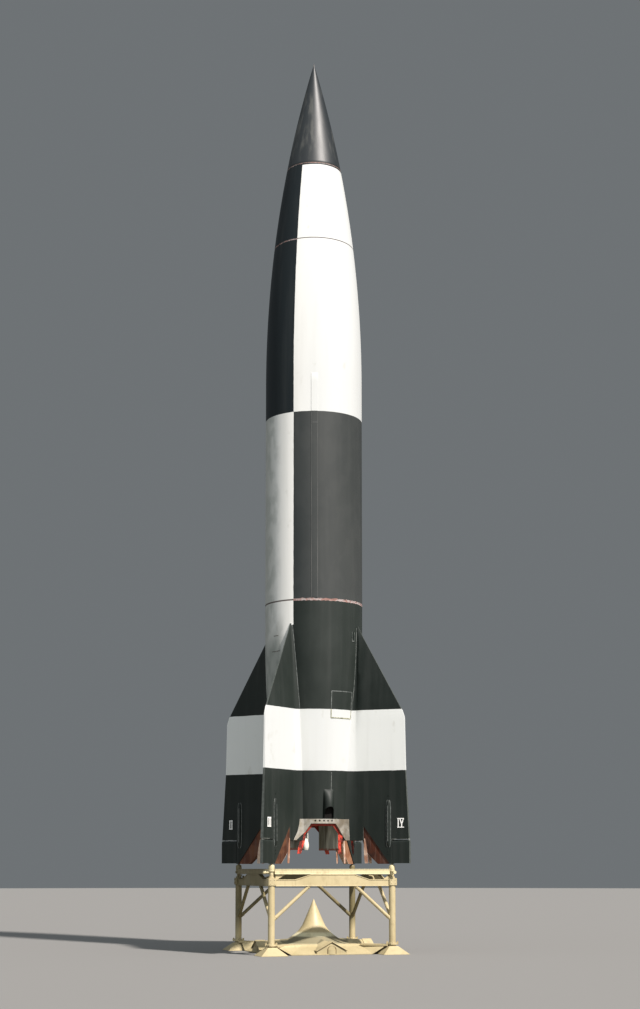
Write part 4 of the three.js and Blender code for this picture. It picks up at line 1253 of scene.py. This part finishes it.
cover_rims = [
    bent_plate(start, end, COVER_PLATE_LOW, high, COVER_RIM_PROUD)
    for start, end, high in (
        (COVER_PLATE_FROM, COVER_PLATE_FROM + rim_turn, COVER_PLATE_HIGH),
        (COVER_PLATE_TO - rim_turn, COVER_PLATE_TO, COVER_PLATE_HIGH),
        (COVER_PLATE_FROM, COVER_PLATE_TO, COVER_PLATE_LOW + 2 * COVER_PLATE_RIM),
    )
]
make_piece("tail_cover_edges", joined(cover_rims), filler, "body_paint")

# Access panel on the white side of the tail, a thin plate with a row of brown screws at its head and
# foot, and the seam that runs up from the fourth side's exhaust hood.
PANEL_FROM = math.radians(-119.5)
PANEL_TO = math.radians(-105.0)
PANEL_LOW = 3.510
PANEL_HIGH = 3.800
PANEL_PROUD = 0.0015
SCREW_IN = 0.015
SCREW_ROWS = ((PANEL_LOW + SCREW_IN, 0.0, 1.0), (PANEL_HIGH - SCREW_IN, 0.22, 0.80))
SCREW_BROWNS = ((0.030, 0.026, 0.023, 1), (0.070, 0.060, 0.050, 1))
SEAM_TURN = math.radians(-38.0)
SEAM_HALF = 0.006
SEAM_LOW = 1.18
SEAM_HIGH = 1.50
panel = bent_plate(PANEL_FROM, PANEL_TO, PANEL_LOW, PANEL_HIGH, PANEL_PROUD)
make_piece("tail_panel", panel, body_paint, "body_paint")
panel_screws = []
for rise, first, last in SCREW_ROWS:
    for share in evenly(first, last, round(8 * (last - first))):
        angle = PANEL_FROM + SCREW_IN + (PANEL_TO - PANEL_FROM - 2 * SCREW_IN) * share
        panel_screws.append(dome_head(on_tail(angle, rise, PANEL_PROUD), 0.009, 0.002))
screw_brown = oxide_paint("screw_dull_brown", *SCREW_BROWNS)
make_piece("tail_panel_screws", joined(panel_screws), screw_brown, "body_paint")
hood_seam = bent_plate(SEAM_TURN - SEAM_HALF, SEAM_TURN + SEAM_HALF, SEAM_LOW, SEAM_HIGH, 0.002)
make_piece("tail_hood_seam", hood_seam, edge_wear_and_highlight, "body_paint")


# Inside of the skirt. The engine's nozzle and thrust ring in stained steel, and four channel brackets
# in streaked grey primer that once carried the jet vanes. One bracket still has a cream housing.
NOZZLE_ROWS = (
    # height above the feet, inside radius
    (0.742, 0.370),
    (0.930, 0.330),
    (1.180, 0.275),
    (1.480, 0.205),
    (1.760, 0.300),
)
NOZZLE_WALL = 0.013
NOZZLE_TOP = ((0.36, 1.9597), (0.0, 1.9597), (0.0, 1.90), (0.26, 1.86))
BRACKET_FEET = {1: 0.0, 2: 0.0, 3: 0.0, 4: 0.400}
BRACKET_GREYS = ((0.12, 0.115, 0.080, 1), (0.32, 0.33, 0.29, 1))
BRACKET_PALE = (0.72, 0.73, 0.66, 1)
BRACKET_FOOT = (0.26, 0.10, 0.07, 1)
STEELS = ((0.20, 0.19, 0.18, 1), (0.10, 0.065, 0.05, 1))
HOUSING_MIDDLE = (0.165, -0.588)
HOUSING_PROFILE = (
    # radius, height
    (0.0, 1.684), (0.032, 1.686), (0.044, 1.705), (0.052, 1.75),
    (0.047, 1.80), (0.030, 1.85), (0.018, 1.872), (0.0, 1.876),
)
HOUSING_CREAMS = ((0.70, 0.71, 0.66, 1), (0.55, 0.54, 0.46, 1))
STUB_RADIUS = 0.018
STUB_LONG = 0.030
STUB_HEIGHT = 1.735


def primer_paint():
    paint = Finish("bracket_streaked_primer")
    x, _, z = paint.along()
    runs = paint.clouds(26, 4, (1, 1, 0.08))
    washed = x.rises(-0.06, 0.05)
    pale = runs.rises(0.40, 0.66) * (washed * 0.7 + 0.3)
    colour = paint.blend(pale, paint.blend(washed, *BRACKET_GREYS), BRACKET_PALE)
    foot = (paint.clouds(18, 4) * 0.09 + z).falls(FIN_BASE + 0.29, FIN_BASE + 0.32)
    return paint.coat(paint.blend(foot, colour, BRACKET_FOOT), runs * 0.2 + 0.55, runs * 0.002)


def steel_finish():
    paint = Finish("engine_stained_steel")
    stain = paint.clouds(7, 5).rises(0.40, 0.66)
    colour = paint.blend(stain, *STEELS)
    return paint.coat(colour, stain * 0.25 + 0.42, stain * 0.001, metal=stain * -0.5 + 0.9)


def copied(node):
    """Points and faces of a solid of the frame."""
    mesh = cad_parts[node].data
    return [tuple(v.co) for v in mesh.vertices], [list(polygon.vertices) for polygon in mesh.polygons]


primer = primer_paint()
stained_steel = steel_finish()
for number in FIN_TURNS:
    node = f"vane_bracket_{number}"
    points, faces = copied(node)
    points = [(x, y, max(z, FIN_BASE + BRACKET_FEET[number])) for x, y, z in points]
    make_piece(f"vane_channel_{number}", (points, faces), primer, "bracket_grey", node, bevel=0.0015)
housing_x, housing_y = HOUSING_MIDDLE
housing, housing_faces = lathe(HOUSING_PROFILE, 24)
housing = [(x + housing_x, y + housing_y, z) for x, y, z in housing], housing_faces
stub, stub_faces = lathe([(0.0, 0.0), (STUB_RADIUS, 0.0), (STUB_RADIUS, STUB_LONG), (0.0, STUB_LONG)], 20)
stub = [(x + housing_x, housing_y + z, y + STUB_HEIGHT) for x, y, z in stub], stub_faces
cream_housing = oxide_paint("housing_cream", *HOUSING_CREAMS)
make_piece("vane_housing", joined([housing, stub]), cream_housing, "bracket_grey")
bell_inside = []
for (low, low_radius), (high, high_radius) in zip(NOZZLE_ROWS, NOZZLE_ROWS[1:]):
    for share in (0.0, 0.25, 0.5, 0.75):
        radius = low_radius + (high_radius - low_radius) * share
        bell_inside.append((radius, FIN_BASE + low + (high - low) * share))
bell_inside.append((NOZZLE_ROWS[-1][1], FIN_BASE + NOZZLE_ROWS[-1][0]))
bell = [(radius + NOZZLE_WALL, height) for radius, height in bell_inside]
bell += [(radius, FIN_BASE + rise) for radius, rise in NOZZLE_TOP]
bell = lathe(bell + bell_inside[::-1], 96, closed=True)
make_piece("nozzle_bell", bell, stained_steel, "engine_steel", "nozzle", sharp=50)
for node in ("engine", "thrust_ring"):
    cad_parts[node].data.materials.clear()
    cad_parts[node].data.materials.append(stained_steel)


# Launch table, columns and feet. Steel tubes with welded beam sockets and a bolted collar at the foot
# of each, standing on low pyramid pads. Everything on the table is brushed over in cream paint.
COLUMN_RADIUS = 1.45
TUBE = 0.054
UPPER_LOW = 1.291
COLLAR = 0.078
COLLAR_LOW = 0.152
LUG = ((0.066, -0.016), (0.097, -0.016), (0.097, 0.016), (0.066, 0.016))
LUG_HIGH = COLLAR_LOW + 0.046
LUG_BOLT = 0.083
PAD_HALF = 0.225
PAD_TOP = 0.076
PAD_HEIGHT = 0.130
SOCKET_HALF = 0.065
SOCKET_LOW = 1.110
SOCKET_HIGH = 1.227
SOCKET_CUT = 0.014
CREAM = (0.385, 0.320, 0.176, 1)
CREAM_CLEAN = (0.430, 0.360, 0.205, 1)
CREAM_PALE = (0.55, 0.485, 0.29, 1)
# painted light and painted shade for the flare; dark green for painted shade on the table's back and for its
# foot
CREAM_FLARE_PAINTED_LIGHT = (0.66, 0.61, 0.40, 1)
CREAM_FLARE_PAINTED_SHADE = (0.185, 0.165, 0.100, 1)
CREAM_DIRTY = (0.24, 0.185, 0.095, 1)
CREAM_DARK_GREEN = (0.135, 0.112, 0.050, 1)
CREAM_FLAKED = (0.16, 0.08, 0.04, 1)
TABLE_SHADE_TURN = math.radians(-30)


def cream_paint():
    """Cream with painted shade in dark green on the table's back, darker and greener towards the ground, and
    on the deflector's flare painted light above and painted shade below.
    """
    paint = Finish("table_brushed_cream")
    x, y, z = paint.along()
    reach = (x * x + y * y).root()
    tone = paint.clouds(2.6, 5).rises(0.36, 0.64)
    colour = paint.blend(tone, CREAM, CREAM_CLEAN)
    beams = z.rises(UPPER_LOW - 0.002, UPPER_LOW + 0.002)
    colour = paint.blend(beams * 0.8, colour, CREAM_PALE)
    # painted shade on the side of the table away from the lamp
    back = (x * math.cos(TABLE_SHADE_TURN) + y * math.sin(TABLE_SHADE_TURN)).falls(0.30, 0.62)
    colour = paint.blend(back * z.rises(0.25, 0.60) * reach.rises(0.62, 0.70), colour, CREAM_DARK_GREEN)
    # painted light lifts the flare where the beams' shadow falls; painted shade darkens its lower part
    flare = z.within(0.152, 0.33, 0.02) * reach.falls(0.57, 0.62)
    colour = paint.blend(flare, colour, CREAM_FLARE_PAINTED_LIGHT)
    colour = paint.blend(flare * z.falls(0.250, 0.285), colour, CREAM_FLARE_PAINTED_SHADE)
    # darker and greener towards the ground
    colour = paint.blend(z.falls(0.10, 0.14) * 0.25, colour, CREAM_DARK_GREEN)
    dirt = paint.clouds(11, 6).rises(0.52, 0.74)
    runs = paint.clouds(24, 3, (1, 1, 0.10)).rises(0.54, 0.72)
    colour = paint.blend(dirt.or_more(runs) * 0.35, colour, CREAM_DIRTY)
    rounded = add_node(paint.tree, "Bevel", {"Radius": 0.012}, samples=4).outputs[0]
    facing = add_node(paint.tree, "NewGeometry").outputs["Normal"]
    apart = add_node(paint.tree, "VectorMath", {0: rounded, 1: facing}, operation="DOT_PRODUCT")
    edge = Tone(paint.tree, apart.outputs["Value"]).falls(0.80, 0.97)
    flaked = edge * paint.clouds(35, 4).rises(0.50, 0.60)
    colour = paint.blend(flaked * 0.5, colour, CREAM_FLAKED)
    return paint.coat(colour, tone * 0.16 + 0.48, paint.clouds(38, 3) * 0.0009 - flaked * 0.0004)


def on_corner(part, turn):
    """A part moved out to a corner of the table."""
    return turned(([(x + COLUMN_RADIUS, y, z) for x, y, z in part[0]], part[1]), turn)


def square_ring(half, cut, height):
    """A square with cut corners, its sides facing the table's sides."""
    ring = []
    for x, y in ((1, -1), (1, 1), (-1, 1), (-1, -1)):
        first = (x * half, y * (half - cut))
        second = (x * (half - cut), y * half)
        ring += [second, first] if x * y < 0 else [first, second]
    c = math.sqrt(0.5)
    return [((x - y) * c, (x + y) * c, height) for x, y in ring]


def bead(radius, height, thick=0.006):
    """A weld bead round an upright tube."""
    turns = [math.tau * i / 8 for i in range(8)]
    ring = [(radius + thick * math.cos(t), height + thick * math.sin(t)) for t in turns]
    return lathe(ring, 40, closed=True)


def socket_bolts():
    bolts = []
    for face in (45, -45):
        c, s, _ = pointing(math.radians(face), 0.0)
        for across in (-0.032, 0.032):
            for height in (1.14, 1.197):
                centre = (c * SOCKET_HALF - s * across, s * SOCKET_HALF + c * across, height)
                bolts.append(hex_head(centre, (c, s, 0.0), 0.009, 0.007))
    return bolts


cream = cream_paint()


def table_piece(name, part, replaces="", **edges):
    make_piece(name, part, cream, "table_cream", replaces, **edges)


tube_profile = [
    (0.0, PAD_HEIGHT + CLEAR),
    (TUBE + 0.004, PAD_HEIGHT + CLEAR),
    (TUBE + 0.004, COLLAR_LOW),
    (COLLAR, COLLAR_LOW),
    (COLLAR, COLLAR_LOW + 0.022),
    (COLLAR - 0.004, COLLAR_LOW + 0.026),
    (TUBE, COLLAR_LOW + 0.026),
    (TUBE, SOCKET_LOW + 0.01),
    (0.0, SOCKET_LOW + 0.01),
]
column_parts = [lathe(tube_profile, 48)]
column_parts += [bead(TUBE, COLLAR_LOW + 0.030), bead(TUBE, SOCKET_LOW - 0.003, 0.005)]
column_parts.append(lofted([
    square_ring(SOCKET_HALF - 0.004, SOCKET_CUT, SOCKET_LOW),
    square_ring(SOCKET_HALF, SOCKET_CUT, SOCKET_LOW + 0.004),
    square_ring(SOCKET_HALF, SOCKET_CUT, SOCKET_HIGH - 0.004),
    square_ring(SOCKET_HALF - 0.004, SOCKET_CUT, SOCKET_HIGH),
]))
lug = lofted([[(x, y, z) for x, y in LUG] for z in (COLLAR_LOW + 0.002, LUG_HIGH)])
for turn in (20, 110, 200, 290):
    c, s, _ = pointing(math.radians(turn), 0.0)
    column_parts.append(turned(lug, turn))
    column_parts.append(hex_head((c * LUG_BOLT, s * LUG_BOLT, LUG_HIGH), (0, 0, 1), 0.013, 0.012))
column = joined(column_parts + socket_bolts())
pad = lofted([
    square_ring(PAD_HALF, 0.006, 0.0),
    square_ring(PAD_HALF, 0.006, 0.003),
    square_ring(PAD_TOP + 0.004, 0.006, PAD_HEIGHT - 0.004),
    square_ring(PAD_TOP, 0.006, PAD_HEIGHT),
])
for number, turn in FIN_TURNS.items():
    part = on_corner(column, turn)
    table_piece(f"table_column_{number}", part, f"column_{number}", sharp=35, bevel=0.0015)
    table_piece(f"table_pad_{number}", on_corner(pad, turn), f"foot_pad_{number}", sharp=20, bevel=0.004)


# Jacks. Screwed spindles with a lock nut below and a round cap on which a fin's foot rests. A knob on a
# short bar turns each spindle.
SPINDLE = 0.0325
NUT = 0.047
CAP = 0.049
CAP_LOW = 1.336
CAP_HIGH = 1.4597
THREAD = 0.011
THREAD_DEPTH = 0.003
BAR_RADIUS = 0.012
BAR_REACH = 0.116
KNOB_RADIUS = 0.026
KNOB_FROM = 0.098
KNOB_TO = 0.140
KNOB_RISE = 1.322


def rod(start, end, radius, sides=28):
    """A round bar between two points."""
    axis = Vector(end) - Vector(start)
    return spun(start, axis, [(radius, 0.0), (radius, axis.length)], sides)


def jack():
    profile = [(0.0, SOCKET_HIGH + CLEAR), (NUT - 0.002, SOCKET_HIGH + CLEAR), (NUT, SOCKET_HIGH + 0.003)]
    profile += [(NUT, SOCKET_HIGH + 0.021), (NUT - 0.003, SOCKET_HIGH + 0.024)]
    height = SOCKET_HIGH + 0.027
    while height < CAP_LOW - THREAD:
        profile.append((SPINDLE - THREAD_DEPTH, height))
        profile += [(SPINDLE, height + THREAD * 0.3), (SPINDLE, height + THREAD * 0.6)]
        height += THREAD
    profile += [(SPINDLE, CAP_LOW), (CAP - 0.003, CAP_LOW), (CAP, CAP_LOW + 0.003), (CAP, CAP_LOW + 0.030)]
    profile += [(CAP - 0.004, CAP_LOW + 0.033), (CAP - 0.004, CAP_LOW + 0.037), (CAP, CAP_LOW + 0.040)]
    profile += [(CAP, CAP_HIGH - 0.040), (CAP - 0.005, CAP_HIGH - 0.024), (CAP - 0.018, CAP_HIGH - 0.013)]
    profile += [(0.016, CAP_HIGH - 0.010), (0.016, CAP_HIGH), (0.0, CAP_HIGH)]

    def out(reach):
        return reach * math.sqrt(0.5), -reach * math.sqrt(0.5), KNOB_RISE

    bar = rod(out(0.0), out(BAR_REACH), BAR_RADIUS, 12)
    return joined([lathe(profile, 40), bar, rod(out(KNOB_FROM), out(KNOB_TO), KNOB_RADIUS, 12)])


for number, turn in FIN_TURNS.items():
    table_piece(f"table_jack_{number}", on_corner(jack(), turn), f"jack_{number}", sharp=35)


# Side frames and upper beams. Channel sections with their flanges outwards: the lower one is raised in
# its middle and has two tube braces welded below, the upper one lies between the jacks' caps.
SIDE_OUT = COLUMN_RADIUS * math.sqrt(0.5)
BEAM_HALF = 0.036
LOWER_END = SIDE_OUT - SOCKET_HALF - CLEAR
LOWER_LOW = 1.100
LOWER_HIGH = 1.210
HUMP_TOP = 1.2906
HUMP_FLAT = 0.370
HUMP_FOOT = 0.625
UPPER_END = SIDE_OUT - CAP - CLEAR
UPPER_HIGH = 1.377
FLANGE = 0.012
RECESS = 0.007
BRACE = 0.029
BRACE_WELD = BRACE + 0.004
BRACE_FOOT = 0.585
BRACE_REACH = 0.640
GUSSETS = {
    # top edge's height and length, then the length at its foot; the left one is larger
    1: (1.262, 0.020, 0.085),
    -1: (1.284, 0.165, 0.030),
}
GUSSET_HALF = 0.006
HOOK_ACROSS = 0.640
HOOK_RISE = 1.214
HOOK_BEND = 0.062
HOOK_RADIUS = 0.013
HOOK_OUT = SIDE_OUT + 0.012


def channel_ring(across, low, high):
    """Section of a channel at one place along it, its open side outwards."""
    outer = SIDE_OUT + BEAM_HALF
    inner = SIDE_OUT - BEAM_HALF
    section = [
        (outer, low),
        (outer, low + FLANGE),
        (outer - RECESS, low + FLANGE + 0.002),
        (outer - RECESS, high - FLANGE - 0.002),
        (outer, high - FLANGE),
        (outer, high),
        (inner, high),
        (inner, low),
    ]
    return [(out, across, up) for out, up in section]


def side_frame():
    tops = [(-LOWER_END, LOWER_HIGH), (-HUMP_FOOT, LOWER_HIGH), (-HUMP_FLAT, HUMP_TOP)]
    tops += [(-across, high) for across, high in tops[::-1]]
    parts = [lofted([channel_ring(across, LOWER_LOW, high) for across, high in tops])]
    for side in (-1, 1):
        foot = Vector((SIDE_OUT, side * (SIDE_OUT - TUBE / 2), BRACE_FOOT - 0.02))
        head = Vector((SIDE_OUT, side * (SIDE_OUT - BRACE_REACH), LOWER_LOW + 0.01))
        parts.append(rod(foot, head, BRACE))
        parts.append(rod(head.lerp(foot, 0.035), head.lerp(foot, 0.055), BRACE_WELD))
        parts.append(rod(foot.lerp(head, 0.07), foot.lerp(head, 0.09), BRACE_WELD))
        top, top_long, foot_long = GUSSETS[side]
        outline = [(LOWER_END, LOWER_HIGH), (LOWER_END, top), (LOWER_END - top_long, top)]
        outline.append((LOWER_END - foot_long, LOWER_HIGH))
        faces = (SIDE_OUT - GUSSET_HALF, SIDE_OUT + GUSSET_HALF)
        parts.append(lofted([[(out, side * across, high) for across, high in outline] for out in faces]))
    return joined(parts)


def pipe_hook():
    """The bent pipe stub between the two beams near the right-hand column."""
    path = [
        (HOOK_ACROSS + HOOK_BEND * math.sin(t), HOOK_RISE + HOOK_BEND * math.cos(t))
        for t in evenly(-0.35, math.pi / 2, 10)
    ]
    path.append((HOOK_ACROSS + HOOK_BEND, HOOK_RISE - 0.008))
    rings = []
    for i, (across, up) in enumerate(path):
        before, after = path[max(0, i - 1)], path[min(len(path) - 1, i + 1)]
        along = Vector((after[0] - before[0], after[1] - before[1])).normalized() * HOOK_RADIUS
        rings.append([
            (
                HOOK_OUT + HOOK_RADIUS * math.cos(t),
                across + along[1] * math.sin(t),
                up - along[0] * math.sin(t),
            )
            for t in (math.tau * k / 12 for k in range(12))
        ])
    return lofted(rings)


side = side_frame()
beam = lofted([channel_ring(across, UPPER_LOW, UPPER_HIGH) for across in (-UPPER_END, UPPER_END)])
for number, turn in SIDE_TURNS.items():
    part = turned(joined([side, pipe_hook()]) if number == 4 else side, turn)
    table_piece(f"table_side_{number}", part, f"side_frame_{number}", sharp=35, bevel=0.002)
    part = turned(beam, turn)
    table_piece(f"table_beam_{number}", part, f"upper_beam_{number}", sharp=35, bevel=0.002)


# Base and flame deflector. A folded steel base with a gabled ridge out to each side, and a round cone
# that flares out over it. Each gable's roof sheets stand over a half-round end post.
GABLE_END = 0.990
GABLE_HALF = 0.262
GABLE_FOOT = 0.068
GABLE_RIDGE = 0.213
ROOF_LONG = 0.14
ROOF_OVER = 0.024
ROOF_THICK = 0.009
POST = 0.070
POST_PROUD = 0.028
POST_LOW = 0.004
POST_HIGH = 0.085
GAP = 0.011
GAP_RISE = 0.060
GAP_SHADE_BROWNS = ((0.055, 0.030, 0.008, 1), (0.095, 0.055, 0.018, 1))
FLARE_ROWS = (
    # radius, height
    (0.600, 0.150),
    (0.530, 0.166),
    (0.450, 0.208),
    (0.376, 0.258),
    (0.307, 0.310),
    (0.250, 0.362),
    (0.190, 0.446),
    (0.000, 0.880),
)


def gable_front():
    """Roof sheets and end post of one gable."""
    edge = [(-GABLE_HALF, GABLE_FOOT), (0.0, GABLE_RIDGE), (GABLE_HALF, GABLE_FOOT)]
    edge += [(across, height - ROOF_THICK) for across, height in edge[::-1]]
    roof = lofted([[(out, a, z) for a, z in edge] for out in (GABLE_END - ROOF_LONG, GABLE_END + ROOF_OVER)])
    turns = evenly(-math.pi / 2, math.pi / 2, 12)
    post = [(GABLE_END - 0.004 + POST_PROUD * math.cos(t), POST * math.sin(t)) for t in turns]
    post += [(GABLE_END - 0.02, POST), (GABLE_END - 0.02, -POST)]
    return joined([roof, lofted([[(x, y, z) for x, y in post] for z in (POST_LOW, POST_HIGH)])])


def gable_gap():
    """A dark strip of painted shade round the end post, arched over its top."""
    wide = POST + GAP / 2
    turns = evenly(0.3, math.pi - 0.3, 10)
    path = [(-wide, 0.006), (-wide, POST_HIGH)]
    path += [(-wide * math.cos(t), POST_HIGH + GAP_RISE * math.sin(t)) for t in turns]
    path += [(wide, POST_HIGH), (wide, 0.006)]
    back, front = GABLE_END - 0.01, GABLE_END + 0.005
    rings = []
    for across, height in path:
        inner = (across * (1 - GAP / POST), height * 0.985)
        rings.append([(back, across, height), (front, across, height), (front, *inner), (back, *inner)])
    return lofted(rings)


table_piece("base_sheet", copied("base_plate"), "base_plate", sharp=12, bevel=0.003)
gables = joined([turned(gable_front(), turn) for turn in SIDE_TURNS.values()])
table_piece("base_gables", gables, bevel=0.0015)
# painted shade: dark strips in the gap round each end post
gaps = joined([turned(gable_gap(), turn) for turn in SIDE_TURNS.values()])
make_piece("base_gable_gaps", gaps, oxide_paint("gable_gap_painted_shade", *GAP_SHADE_BROWNS), "table_cream")
flare = [(0.0, 0.150 + CLEAR), (0.599, 0.150 + CLEAR)]
for (r0, z0), (r1, z1) in zip(FLARE_ROWS, FLARE_ROWS[1:]):
    flare += [(r0, z0), ((r0 + r1) / 2, (z0 + z1) / 2)]
flare += [(0.004, 0.877), (0.0, 0.879)]
table_piece("deflector_skin", lathe(flare, 96), "deflector_cone", sharp=35)
